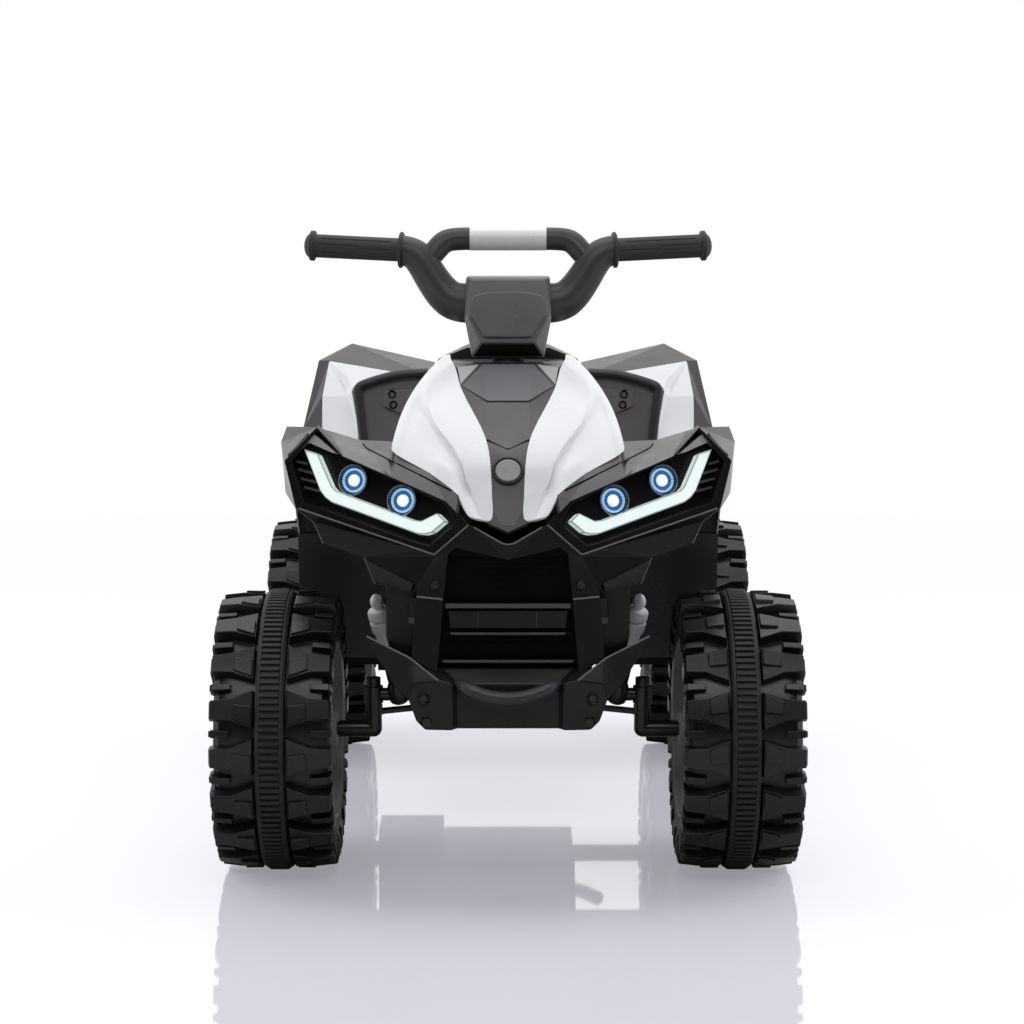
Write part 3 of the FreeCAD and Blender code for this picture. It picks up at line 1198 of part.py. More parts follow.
bezel_shape = make_headlights()
hood_shape = make_hood()
mask_shape, bumper_shape = make_nose(bezel_shape)
make_mudguards(bezel_shape, hood_shape, mask_shape)
make_rear_body()
make_controls(make_seat_and_covers())
make_tub()
make_pedal()
make_drive()
make_rear_bumper()
make_stem(make_handlebar())
make_screws(mask_shape, bumper_shape)
make_wheels()
make_front_axle()
make_knuckle("knuckle_left", 1)
make_knuckle("knuckle_right", -1)
make_column()
make_tie_rod()
make_shock_absorbers()

# Write each sub-part once the document is sound
doc.recompute()
for obj in nodes:
    state = [flag for flag in obj.State if flag in ("Invalid", "Error")]
    if state or obj.Shape.isNull() or not obj.Shape.isValid():
        raise RuntimeError(f"{obj.Label} did not build: {obj.State}")
    obj.Shape.exportStep(f"parts/{obj.Label}.step")
print(len(nodes), "sub-parts written")
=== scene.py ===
import math

import bmesh
import bpy
from mathutils import Matrix, Vector
from mathutils.bvhtree import BVHTree


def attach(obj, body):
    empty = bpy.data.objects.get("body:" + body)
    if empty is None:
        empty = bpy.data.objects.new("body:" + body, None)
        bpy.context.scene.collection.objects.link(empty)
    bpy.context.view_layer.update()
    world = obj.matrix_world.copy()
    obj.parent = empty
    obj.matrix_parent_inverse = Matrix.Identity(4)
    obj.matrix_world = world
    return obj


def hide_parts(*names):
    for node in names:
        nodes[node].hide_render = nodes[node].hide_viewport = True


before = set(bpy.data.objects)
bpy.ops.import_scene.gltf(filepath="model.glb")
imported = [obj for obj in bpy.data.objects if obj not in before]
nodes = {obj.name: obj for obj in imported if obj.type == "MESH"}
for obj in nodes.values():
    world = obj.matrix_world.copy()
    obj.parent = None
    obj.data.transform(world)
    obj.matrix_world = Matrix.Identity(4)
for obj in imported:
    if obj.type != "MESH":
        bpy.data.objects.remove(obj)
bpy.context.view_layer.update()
MM = 0.001

# Places taken from the CAD model, millimetres
TRACK_HALF = 175.0
FRONT_Y = -212.5
REAR_Y = 212.5
AXLE_Z = 108.0
CORNERS = {
    "front_left": (1, FRONT_Y), "front_right": (-1, FRONT_Y),
    "rear_left": (1, REAR_Y), "rear_right": (-1, REAR_Y),
}


def vec(x, y, z):
    return Vector((x, y, z)) * MM


def fore(x, ahead, z):
    """Point placed from the front axle, as in the CAD source."""
    return vec(x, FRONT_Y - ahead, z)


def aft(x, behind, z):
    return vec(x, REAR_Y + behind, z)


EYE = vec(0.0, -2038.1, 511.8)


# Materials
MIX_FACTOR, MIX_FIRST, MIX_SECOND, MIX_RESULT = 0, 6, 7, 2
DRIFT_SCALE = 16
GLOSS_SCALE = 38
DUST_SCALE = 420
DUST_RANGE = (0.58, 0.75)
DUST_COLOUR = (0.42, 0.41, 0.42)
GRAIN_STRENGTH = 0.16
COAT_ROUGHNESS = 0.08
STREAK_SCALE = 220
GLOW_ROUGHNESS = 0.25
GLOW_DRIFT_SCALE = 90
GLOW_GRAIN_SCALE = 700
# Strength and depth of bumps
STREAK_BUMP = (0.2, 0.00008)
GLOW_BUMP = (0.15, 0.0001)


def new_material(name):
    mat = bpy.data.materials.new(name)
    mat.use_nodes = True
    tree = mat.node_tree
    return mat, tree, tree.nodes["Principled BSDF"]


def feed(made, inputs):
    """Set or link inputs of a shader node, by name or number."""
    for key, value in inputs.items():
        if isinstance(value, bpy.types.NodeSocket):
            made.id_data.links.new(value, made.inputs[key])
        else:
            made.inputs[key].default_value = value
    return made


def node(tree, kind, inputs=None, **settings):
    made = tree.nodes.new(kind)
    for key, value in settings.items():
        setattr(made, key, value)
    return feed(made, inputs or {})


def object_coords(tree):
    return node(tree, "ShaderNodeTexCoord").outputs["Object"]


def noise(tree, coords, scale, detail=2.0, roughness=0.5):
    inputs = {"Vector": coords, "Scale": scale, "Detail": detail, "Roughness": roughness}
    return node(tree, "ShaderNodeTexNoise", inputs).outputs["Fac"]


def ramp(tree, source, low, high, from_low=0.3, from_high=0.7):
    inputs = {"Value": source, "From Min": from_low, "From Max": from_high, "To Min": low, "To Max": high}
    return node(tree, "ShaderNodeMapRange", inputs).outputs["Result"]


def blend_colours(tree, factor, first, second):
    inputs = {MIX_FACTOR: factor}
    for key, value in ((MIX_FIRST, first), (MIX_SECOND, second)):
        inputs[key] = (*value, 1) if isinstance(value, tuple) else value
    return node(tree, "ShaderNodeMix", inputs, data_type="RGBA").outputs[MIX_RESULT]


def greatest(tree, first, second):
    return node(tree, "ShaderNodeMath", {0: first, 1: second}, operation="MAXIMUM").outputs[0]


def bump(tree, bsdf, height, strength, distance):
    inputs = {"Height": height, "Strength": strength, "Distance": distance}
    feed(bsdf, {"Normal": node(tree, "ShaderNodeBump", inputs).outputs["Normal"]})


def shade(colour, factor):
    return tuple(min(1.0, c * factor) for c in colour)


def moulded(name, colour, rough, grain=1500.0, depth=0.00012, vary=0.10, coat=0.0, dust=0.0, specular=0.5):
    """Moulded plastic: slight colour drift, uneven gloss and a fine spark-eroded grain."""
    mat, tree, bsdf = new_material(name)
    coords = object_coords(tree)
    drift = noise(tree, coords, DRIFT_SCALE, 3)
    tint = blend_colours(tree, drift, shade(colour, 1 - vary), shade(colour, 1 + vary))
    if dust:
        specks = ramp(tree, noise(tree, coords, DUST_SCALE, 4, 0.7), 0, dust, *DUST_RANGE)
        tint = blend_colours(tree, specks, tint, DUST_COLOUR)
    gloss = ramp(tree, noise(tree, coords, GLOSS_SCALE, 3), rough - 0.05, rough + 0.06)
    feed(bsdf, {"Base Color": tint, "Roughness": gloss, "Specular IOR Level": specular})
    bump(tree, bsdf, noise(tree, coords, grain, 2, 0.6), GRAIN_STRENGTH, depth)
    if coat:
        feed(bsdf, {"Coat Weight": coat, "Coat Roughness": COAT_ROUGHNESS})
    return mat


def metal(name, colour, rough, stretch):
    """Bare metal with fine streaks."""
    mat, tree, bsdf = new_material(name)
    mapping = node(tree, "ShaderNodeMapping", {"Vector": object_coords(tree), "Scale": stretch})
    streaks = noise(tree, mapping.outputs["Vector"], STREAK_SCALE, 4, 0.65)
    tint = blend_colours(tree, streaks, shade(colour, 0.75), shade(colour, 1.2))
    gloss = ramp(tree, streaks, rough - 0.08, rough + 0.1)
    feed(bsdf, {"Base Color": tint, "Roughness": gloss, "Metallic": 1.0})
    bump(tree, bsdf, streaks, *STREAK_BUMP)
    return mat


def glowing(name, colour, strength, base):
    """Lit lamp plastic, a little uneven along its length."""
    mat, tree, bsdf = new_material(name)
    coords = object_coords(tree)
    drift = noise(tree, coords, GLOW_DRIFT_SCALE)
    body = blend_colours(tree, drift, shade(base, 0.92), base)
    light = blend_colours(tree, drift, shade(colour, 0.9), colour)
    feed(bsdf, {"Base Color": body, "Emission Color": light, "Emission Strength": strength,
                "Roughness": GLOW_ROUGHNESS})
    bump(tree, bsdf, noise(tree, coords, GLOW_GRAIN_SCALE), *GLOW_BUMP)
    return mat


M = {
    "charcoal": moulded("charcoal_plastic", (0.060, 0.0555, 0.0635), 0.31),
    "black": moulded("black_plastic", (0.011, 0.0105, 0.012), 0.46),
    "mask": moulded("mask_plastic", (0.0062, 0.0057, 0.0069), 0.34, specular=0.26),
    "bar": moulded("bar_plastic", (0.040, 0.0375, 0.0435), 0.40),
    "paint": moulded("black_paint", (0.010, 0.0098, 0.011), 0.30, grain=500.0, depth=0.00004),
    # Mid grey plastic; the pale bars along edges and on the mask ridge use it as painted highlight.
    "brow": moulded("grey_plastic_and_highlight", (0.13, 0.126, 0.132), 0.38),
    "panel": moulded("panel_plastic", (0.20, 0.188, 0.206), 0.34),
    "stem": moulded("stem_plastic", (0.135, 0.128, 0.140), 0.32),
    "trim": moulded("trim_plastic", (0.088, 0.082, 0.092), 0.32),
    "bumper": moulded("bumper_plastic", (0.013, 0.0121, 0.0143), 0.33, specular=0.32),
    # Near-black and barely glossy: black plastic that also serves as painted shade in grooves, gaps, screw
    # hollows and the recess behind the grille.
    "black_and_shade": moulded("black_plastic_and_painted_shade", (0.002, 0.002, 0.0023), 0.6, specular=0.12),
    "white": moulded("white_plastic", (0.80, 0.81, 0.835), 0.22, grain=300.0, depth=0.00005, vary=0.02,
                     coat=0.25),
    "tyre": moulded("tyre_plastic", (0.013, 0.0123, 0.0142), 0.29, grain=900.0, depth=0.0003, dust=0.05),
    "band": moulded("band_rubber", (0.02, 0.0198, 0.0215), 0.6, grain=1100.0, depth=0.0002, dust=0.06),
    "rim": moulded("rim_plastic", (0.30, 0.30, 0.315), 0.38),
    "grey": moulded("grey_plastic", (0.30, 0.295, 0.305), 0.42),
    "silver": moulded("silver_plastic", (0.92, 0.92, 0.93), 0.30, grain=2500.0, depth=0.00004, vary=0.03),
    "grip": moulded("grip_rubber", (0.03, 0.029, 0.032), 0.55, grain=1800.0, depth=0.0002),
    "steel": metal("axle_steel", (0.42, 0.42, 0.44), 0.38, (1, 1, 8)),
    "strip": glowing("strip_light", (0.84, 0.96, 0.94), 0.60, (0.74, 0.80, 0.78)),
    "strip_rim": glowing("strip_rim_light", (0.42, 0.62, 0.55), 0.40, (0.30, 0.42, 0.37)),
    "ring": glowing("ring_light", (0.05, 0.15, 0.36), 0.65, (0.03, 0.06, 0.13)),
    "lens": glowing("lens_light", (0.85, 0.96, 1.0), 0.7, (0.8, 0.9, 0.95)),
    "tail": moulded("tail_plastic", (0.50, 0.015, 0.018), 0.18, grain=900.0, coat=0.5),
    "button": moulded("button_plastic", (0.45, 0.018, 0.02), 0.28, coat=0.3),
    "gear": moulded("gear_plastic", (0.72, 0.70, 0.63), 0.45),
    "battery": moulded("battery_plastic", (0.05, 0.05, 0.055), 0.5),
    "pale": moulded("pale_plastic", (0.40, 0.40, 0.415), 0.35),
    "badge": moulded("badge_plastic", (0.30, 0.295, 0.31), 0.30, grain=2500.0, depth=0.00004, vary=0.03),
    "cup": moulded("cup_plastic", (0.004, 0.009, 0.022), 0.15, coat=0.4),
    "ring_fine": glowing("fine_ring_light", (0.33, 0.62, 0.90), 0.75, (0.20, 0.35, 0.50)),
    "clear": moulded("clear_rim", (0.16, 0.22, 0.30), 0.12, coat=0.6),
    "shock": moulded("shock_plastic", (0.74, 0.72, 0.75), 0.40),
}


# Objects and edges
NORMAL_WEIGHT = 80
WELD_REACH = 0.00002
FLAT_ANGLE = math.radians(0.7)
SOFT_ANGLE = 14.0
TURNED_EDGE = 0.15
TURNED_MERGE = 0.000005
SHEET_EDGE = 0.5
SHEET_ANGLE = 40


def new_object(name, data):
    obj = bpy.data.objects.new(name, data)
    bpy.context.scene.collection.objects.link(obj)
    return obj


def bevelled(obj, width, angle=30.0, segments=2):
    """Round the edges that are sharper than an angle in degrees, by a width in millimetres."""
    edge = obj.modifiers.new("edge", "BEVEL")
    edge.width = width * MM
    edge.segments = segments
    edge.limit_method = "ANGLE"
    edge.angle_limit = math.radians(angle)
    normals = obj.modifiers.new("normals", "WEIGHTED_NORMAL")
    normals.keep_sharp = False
    normals.weight = NORMAL_WEIGHT
    return obj


def soften(obj, width):
    """Merge a CAD piece's triangles into flat faces and round its edges."""
    weld = obj.modifiers.new("weld", "WELD")
    weld.merge_threshold = WELD_REACH
    flat = obj.modifiers.new("flat", "DECIMATE")
    flat.decimate_type = "DISSOLVE"
    flat.angle_limit = FLAT_ANGLE
    bevelled(obj, width, SOFT_ANGLE, 3).modifiers["edge"].miter_outer = "MITER_ARC"


def dress(name, look, width):
    """Give a CAD node its material and softened edges."""
    obj = nodes[name]
    if not obj.material_slots:
        obj.data.materials.append(None)
    for slot in obj.material_slots:
        slot.link = "OBJECT"
        slot.material = M[look]
    if width:
        soften(obj, width)


LOOKS = {
    "charcoal": ("centre_body", "dash_panel", "hood_centre_panel", "rear_bumper", "stem_cover", "tail_cover",
                 "tank_cover", "front_mudguard_left", "front_mudguard_right", "rear_fender_left",
                 "rear_fender_right"),
    "white": ("fender_insert_left", "fender_insert_right", "hood_panel_left", "hood_panel_right"),
    "mask": ("front_mask", "chassis_tub", "headlight_bezels"),
    "bumper": ("front_bumper",),
    "bar": ("handlebar",),
    "panel": ("leg_guard_left", "leg_guard_right"),
    "black": ("gear_case", "direction_switch", "seat"),
    # The front grille is near-black: its black plastic with the shade of its recess painted in.
    "black_and_shade": ("front_grille",),
    "grey": ("accelerator_pedal", "shock_absorbers"),
    "silver": ("crossbar_sleeve", "hood_badge"),
    "grip": ("grips",),
    "paint": ("front_axle_beam", "knuckle_left", "knuckle_right", "tie_rod", "body_screws"),
    "steel": ("motor_pinion", "rear_axle", "steering_column", "gear_motor"),
    "strip": ("light_strips",),
    "ring": ("projector_rings",),
    "lens": ("projector_lenses",),
    "tail": ("tail_lights",),
    "button": ("power_button",),
    "gear": ("drive_gear", "reduction_gear"),
    "battery": ("battery",),
    "tyre": tuple("tyre_" + corner for corner in CORNERS),
    "band": tuple("traction_band_" + corner for corner in CORNERS),
    "rim": tuple("rim_" + corner for corner in CORNERS),
}
EDGES = {
    "charcoal": 1.4, "white": 1.6, "mask": 1.1, "panel": 1.2, "black": 0.8, "black_and_shade": 0.5, "grey": 0.5,
    "rim": 1.2, "strip": 0.6, "tail": 0.6,
}
ROUND_PIECES = ("handlebar", "front_bumper", "rear_bumper", "shock_absorbers", "hood_badge",
                "crossbar_sleeve")
for look, names in LOOKS.items():
    for name in names:
        dress(name, look, 0.0 if name in ROUND_PIECES else EDGES.get(look, 0.0))


# Mesh helpers
def mesh_object(name, verts, faces, material, smooth=True):
    mesh = bpy.data.meshes.new(name)
    mesh.from_pydata([tuple(v) for v in verts], [], faces)
    mesh.materials.append(M[material])
    for face in mesh.polygons:
        face.use_smooth = smooth
    mesh.update()
    return new_object(name, mesh)


def outward(obj, merge=0.0):
    """Merge points closer than a distance in metres, and turn all faces outward."""
    work = bmesh.new()
    work.from_mesh(obj.data)
    if merge:
        bmesh.ops.remove_doubles(work, verts=work.verts, dist=merge)
    bmesh.ops.recalc_face_normals(work, faces=work.faces)
    work.to_mesh(obj.data)
    work.free()
    return obj


def settle(obj, replaced=(), body="chassis"):
    """Tie a new piece to its body, and hide the CAD nodes it stands for."""
    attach(obj, body)
    for name in replaced:
        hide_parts(name)
    return obj


def solid(name, verts, faces, material, edge=0.4, angle=25.0):
    """Flat-faced mesh with outward normals and softened edges."""
    obj = outward(mesh_object(name, verts, faces, material, False))
    return bevelled(obj, edge, angle, 3) if edge else obj


def slab(name, verts, flat, ring, push, material, edge, angle=25.0):
    """Faces over points, made solid along a vector; ring is their outline."""
    count = len(verts)
    faces = flat + [[count + i for i in face] for face in flat]
    faces += [[a, b, count + b, count + a] for a, b in zip(ring, ring[1:] + ring[:1])]
    return solid(name, verts + [p + push for p in verts], faces, material, edge, angle)


def plate(name, outline, push, material, edge=0.4):
    """Slab with one face over an outline of points."""
    ring = list(range(len(outline)))
    return slab(name, outline, [ring], ring, push, material, edge)


def mirror_x(points):
    return [Vector((-p.x, p.y, p.z)) for p in points]


def both_halves(half):
    """Points of a symmetric line from its half; the first of them is on the middle plane."""
    return mirror_x(half[:0:-1]) + half


def twin(obj, name):
    """Mirrored copy of a piece on the other side of the bike."""
    mesh = obj.data.copy()
    mesh.name = name
    for vertex in mesh.vertices:
        vertex.co.x = -vertex.co.x
    mesh.flip_normals()
    other = obj.copy()
    other.data = mesh
    other.name = name
    other.parent = None
    bpy.context.scene.collection.objects.link(other)
    return other


def walled(obj, thick, offset=-1.0):
    """Give a sheet a thickness in millimetres, to the inside unless the offset says otherwise."""
    wall = obj.modifiers.new("wall", "SOLIDIFY")
    wall.thickness = thick * MM
    wall.offset = offset
    return obj


def smooth_sheet(name, rows, material, thick, creases, levels):
    """Subdivided panel through rows of points; creases maps (kind, index, start, stop) to a sharpness."""
    work = bmesh.new()
    grid = [[work.verts.new(p) for p in row] for row in rows]
    sharp = work.edges.layers.float.new("crease_edge")
    for upper, lower in zip(grid, grid[1:]):
        for j in range(len(upper) - 1):
            work.faces.new((upper[j], upper[j + 1], lower[j + 1], lower[j]))
    columns = list(zip(*grid))
    for (kind, index, start, stop), value in creases.items():
        line = grid[index] if kind == "row" else columns[index]
        for k in range(start, stop):
            work.edges.get((line[k], line[k + 1]))[sharp] = value
    mesh = bpy.data.meshes.new(name)
    work.to_mesh(mesh)
    work.free()
    for face in mesh.polygons:
        face.use_smooth = True
    mesh.materials.append(M[material])
    obj = new_object(name, mesh)
    smooth = obj.modifiers.new("smooth", "SUBSURF")
    smooth.levels = levels
    smooth.render_levels = levels
    return bevelled(walled(obj, thick), SHEET_EDGE, SHEET_ANGLE)


def wrap_faces(rows, width):
    """Four-sided faces of a closed run of rows, each with the same number of points."""
    faces = []
    for row in range(rows):
        here, after = row * width, (row + 1) % rows * width
        faces += [(here + k, here + k + 1, after + k + 1, after + k) for k in range(width - 1)]
    return faces


def loop_sides(start, count):
    """Four-sided faces from a closed loop of points to the next loop of the same length."""
    faces = []
    for i in range(count):
        j = (i + 1) % count
        faces.append([start + i, start + j, start + count + j, start + count + i])
    return faces


def spokes(axis, count):
    """Unit vectors across an axis, spread evenly round it."""
    side = axis.orthogonal().normalized()
    up = axis.cross(side)
    angles = [2 * math.pi * index / count for index in range(count)]
    return [side * math.cos(angle) + up * math.sin(angle) for angle in angles]


def lathe(name, profile, origin, axis, material, segments=48):
    """Piece turned round an axis through (distance, radius) points."""
    axis = axis.normalized()
    verts = []
    for spoke in spokes(axis, segments):
        verts += [origin + axis * (d * MM) + spoke * (r * MM) for d, r in profile]
    obj = mesh_object(name, verts, wrap_faces(segments, len(profile)), material)
    return bevelled(outward(obj, TURNED_MERGE), TURNED_EDGE)


def tube(name, points, radius, material, sides=10):
    """Round bar along a smooth line, with one radius or one for each point."""
    curve = bpy.data.curves.new(name, "CURVE")
    curve.dimensions = "3D"
    curve.bevel_depth = MM
    curve.bevel_resolution = sides // 2
    curve.use_fill_caps = True
    line = curve.splines.new("NURBS")
    line.points.add(len(points) - 1)
    radii = radius if isinstance(radius, list) else [radius] * len(points)
    for spot, point, thick in zip(line.points, points, radii):
        spot.co = (*point, 1)
        spot.radius = thick
    line.order_u = 3
    line.use_endpoint_u = True
    line.resolution_u = 8
    curve.materials.append(M[material])
    return new_object(name, curve)


def straight(corners, step=6):
    """Points along straight runs, so that a smooth line keeps to them."""
    points = []
    for first, last in zip(corners, corners[1:]):
        points += [first.lerp(last, k / step) for k in range(step)]
    return points + [corners[-1]]


def front_of(name):
    """Search tree over a CAD node's own surface."""
    mesh = nodes[name].data
    return BVHTree.FromPolygons([v.co for v in mesh.vertices], [list(p.vertices) for p in mesh.polygons])


def in_view(surface, x, ahead, z, lift=0.0):
    """Point of a surface that the camera sees behind or before a place, moved off it by a lift."""
    place, normal, *_ = surface.ray_cast(EYE, (fore(x, ahead, z) - EYE).normalized())
    if normal.y > 0:
        normal = -normal
    return place + normal * (lift * MM)


def tube_pair(name, points, radius, material):
    """The same bar on the left and the right of the bike."""
    for side, line in (("left", points), ("right", mirror_x(points))):
        settle(tube(f"{name}_{side}", line, radius, material))


def pair(obj, replaced="", body="chassis"):
    """Settle a left-hand piece and its mirrored twin; the replaced node's name can hold its side."""
    name = obj.name
    other = twin(obj, name + "_right")
    obj.name = name + "_left"
    for piece, side in ((obj, "left"), (other, "right")):
        settle(piece, [replaced.format(side=side)] if replaced else [], body)


# Hood: white side panels, dash, centre trim and blank badge; rows run from the nose to the rear
HOOD_ROWS = (
    ((10.0, 110.6, 283.4), (18.0, 109.2, 285.2), (25.0, 107.6, 286.6), (29.2, 106, 287.4)),
    ((11.6, 97, 300), (26.4, 92.5, 303.0), (32.0, 94.5, 299.5), (33.2, 99, 295.6)),
    ((12.2, 89.4, 312.8), (30.9, 85.5, 311.4), (35.6, 87.5, 308.5), (36.6, 94, 302.6)),
    ((12.8, 82.2, 323.4), (33.6, 73.5, 325.2), (41.5, 76.5, 319.0), (46.5, 83.5, 308.6)),
    ((15.2, 59.5, 339.5), (44.4, 53.5, 338.2), (53.0, 60.5, 327.0), (57.6, 71.5, 315.4)),
    ((26.0, 29.5, 356.0), (55.5, 37.0, 348.6), (68.5, 44.0, 335.0), (73.6, 57.5, 322.0)),
    ((37.2, 0, 373.6), (61.0, 14.5, 362.0), (82.0, 22.0, 346.4), (88.2, 45, 328.6)),
    ((39.5, -25, 385.3), (64.5, -8.0, 372.4), (83.2, 2.0, 355.4), (88.0, 5, 330.0)),
    ((44.7, -42, 391.3), (60.0, -31.0, 383.6), (75.0, -17.0, 371.0), (87.4, -20, 329.4)),
    ((45.4, -64, 391.6), (52.6, -58.0, 389.6), (61.6, -48.0, 384.8), (86.4, -60, 324)),
    ((46.0, -110, 391), (51.0, -110, 390), (57.0, -110, 386), (85.0, -110, 318)),
)
HOOD_STEP = (0.4, 3.4, 5.0, 5.6, 5.6, 4.8, 3.0, 1.2, 0, 0, 0)
HOOD_STEP_SHARE = 0.18
HOOD_INWARD = Vector((-0.35, 0.6, -0.72)).normalized()
HOOD_CREASES = {
    ("row", 1, 0, 1): 0.7, ("col", 1, 1, 3): 0.9, ("col", 1, 3, 6): 1.0, ("col", 1, 6, 7): 0.6,
    ("col", 1, 7, 8): 0.25, ("col", 2, 1, 6): 0.6, ("col", 3, 2, 4): 0.3, ("row", 3, 2, 4): 0.5,
}
HOOD_WALL = 2.0
HOOD_LEVELS = 4


def make_hood():
    """White side panels: a raised band along the middle, a step down, and the bulging flank."""
    rows = []
    for row, step in zip(HOOD_ROWS, HOOD_STEP):
        inner, crease, bulge, outer = (fore(*p) for p in row)
        foot = crease.lerp(bulge, HOOD_STEP_SHARE) + HOOD_INWARD * (step * MM)
        rows.append([inner, crease, foot, bulge, outer])
    skin = smooth_sheet("hood_skin", rows, "white", HOOD_WALL, HOOD_CREASES, HOOD_LEVELS)
    pair(skin, "hood_panel_{side}")


DASH_CAP = ((15.6, 13.4, 362.6), (35.0, -0.6, 373.0), (20.0, -41, 386.4))
DASH_CORNER = ((36.0, -2, 374.4), (38.6, -25, 385.2), (22.6, -41.5, 386.9))


def make_dash():
    """Raised upper dash with its own edge, and the pale corners beside the stem."""
    line, outer, top = (fore(*p) for p in DASH_CAP)
    verts = mirror_x([outer, line]) + [line, outer] + mirror_x([top]) + [top]
    flat = [[0, 1, 4], [1, 2, 5, 4], [2, 3, 5]]
    ring = [0, 1, 2, 3, 5, 4]
    settle(slab("dash_cap", verts, flat, ring, vec(0, -0.5, 1.1), "stem", 0.7, 8))
    corner = [fore(*p) for p in DASH_CORNER]
    pair(plate("dash_corner", corner, vec(0, -0.3, 0.7), "pale", 0.3))


CENTRE_TRIM = ((11.6, 109.6, 280.4), (13.4, 79.2, 322.0), (15.0, 60.6, 337.0), (0, 67.6, 331.2))


def make_centre_trim():
    """Lighter facing on the narrow middle of the hood, up to the seam below the dash."""
    low, bend, top, middle = (fore(*p) for p in CENTRE_TRIM)
    half = [low, bend, top]
    foot, neck = (Vector((0, p.y, p.z)) for p in (low, bend))
    verts = half + mirror_x(half) + [foot, neck, middle]
    flat = [[0, 1, 7, 6], [6, 7, 4, 3], [1, 2, 8, 7], [7, 8, 5, 4]]
    ring = [0, 1, 2, 8, 5, 4, 3, 6]
    settle(slab("centre_trim", verts, flat, ring, vec(0, -0.7, 0.6), "trim", 0.3, 20))


BADGE_RING = ((0, 0), (0, 11.6), (1.4, 11.6), (2.5, 10.9), (2.6, 10.3), (2.0, 9.7), (1.4, 9.6), (1.4, 0))
BADGE_DISC = ((1.5, 0), (1.5, 9.3), (1.9, 9.3), (2.3, 8.7), (2.6, 6.0), (2.8, 3.0), (2.85, 0))
BADGE_SLOPE = ((0, 113, 277), (0, 79.5, 322))
BADGE_UP_SLOPE = 50.0
BADGE_LIFT = 0.5


def make_badge():
    """Blank round badge: dark ring and a slightly domed disc."""
    low, high = (fore(*p) for p in BADGE_SLOPE)
    slope = (high - low).normalized()
    normal = Vector((1, 0, 0)).cross(slope)
    seat = low + slope * (BADGE_UP_SLOPE * MM) + normal * (BADGE_LIFT * MM)
    settle(lathe("badge_ring", BADGE_RING, seat, normal, "black"), replaced=["hood_badge"])
    settle(lathe("badge_disc", BADGE_DISC, seat, normal, "badge"))


# Steering: stem cover with its pad, handlebar and grooved grips
COLUMN_FOOT = (-187.5, 128.0)
COLUMN_TILT = math.radians(10)
COLUMN_AXIS = Vector((0, math.sin(COLUMN_TILT), math.cos(COLUMN_TILT)))
COLLAR_Z = 372.0
COLLAR = ((0, 0), (0, 13.4), (15, 13.4), (16, 12.4), (21.5, 12.4), (21.5, 0))
STEM_FRONT = ((29.6, 452.6, 20.5), (31.6, 424.0, 27.0), (20.6, 403.6, 25.0))
STEM_SIDE = ((33.0, 454.0, 15.0), (34.0, 422.0, 16.0), (28.2, 391.6, 15.0))
STEM_REAR_SIDE = ((33.0, 454.0, -22.0), (34.0, 422.0, -24.0), (28.2, 391.6, -18.0))
STEM_BACK = ((27.0, 450.5, -26.0), (28.4, 424.0, -28.0), (23.0, 393.6, -22.0))
STEM_LIP = ((20.4, 403.2, 25.2), (27.0, 393.0, 15.8))
STEM_FOLD = 424.0
PAD_DEPTH = 26.6
SLOPE_ABOVE_FOLD = 0.215
SLOPE_BELOW_FOLD = 0.10
STEM_PAD = ((0, 442.6), (15.5, 442.0), (26.0, 439.6), (28.6, 436.0), (29.0, 424.6), (18.6, 407.4), (0, 407.0))


def column_point(x, z, ahead):
    """Point before the leaning steering axis."""
    return vec(x, COLUMN_FOOT[0] + (z - COLUMN_FOOT[1]) * math.tan(COLUMN_TILT) - ahead, z)


def stem_loop(spots):
    """Closed loop from its left half of (x, z, depth before the steering axis) spots."""
    half = [column_point(*spot) for spot in spots]
    return half + mirror_x(reversed(half))


def make_stem():
    loops = [stem_loop(spots) for spots in (STEM_FRONT, STEM_SIDE, STEM_REAR_SIDE, STEM_BACK)]
    verts = [p for loop in loops for p in loop]
    count = len(loops[0])
    faces = [list(range(count)), [len(verts) - 1 - i for i in range(count)]]
    for start in range(0, len(verts) - count, count):
        faces += loop_sides(start, count)
    settle(solid("stem_shell", verts, faces, "stem", 1.5, 12), ["stem_cover"], "steering")
    front = []
    for x, z in STEM_PAD:
        slope = SLOPE_ABOVE_FOLD if z > STEM_FOLD else SLOPE_BELOW_FOLD
        front.append(column_point(x, z, PAD_DEPTH - abs(z - STEM_FOLD) * slope))
    pad = plate("stem_pad", front + mirror_x(front[-2:0:-1]), vec(0, -2.6, 0.9), "stem", 1.1)
    settle(pad, body="steering")
    lip = plate("stem_lip", stem_loop(STEM_LIP), vec(0, -1.0, -0.4), "mask", 0.6)
    settle(lip, body="steering")
    collar = lathe("column_collar", COLLAR, column_point(0, COLLAR_Z, 0), COLUMN_AXIS, "bar")
    settle(collar, body="steering")


# Handlebar centre line: x, z, distance behind the low run, radius
BAR_Y = -132.7
BAR_HALF = ((0, 433, 0, 16), (24, 433, 0, 16), (41, 433.4, 0, 15.4), (51, 440, 0.6, 14.2),
            (60, 452.5, 1.6, 13.4), (68, 466, 2.6, 12.8), (75, 473, 3.6, 12.2), (84, 474.8, 5.2, 11.6))
BRACE_HALF = ((0, 483.5, 12, 8.6), (24, 483.5, 12, 9), (40, 483.5, 12, 9), (50, 482, 9, 9), (57, 474.5, 6, 9),
              (64, 466, 3, 8.6))


def make_handlebar():
    for name, half in (("handlebar_tube", BAR_HALF), ("handlebar_brace", BRACE_HALF)):
        line = both_halves([vec(x, BAR_Y + back, z) for x, z, back, r in half])
        radii = [r for *_, r in half]
        bar = tube(name, line, radii[:0:-1] + radii, "bar", 24)
        settle(bar, ["handlebar"], "steering")


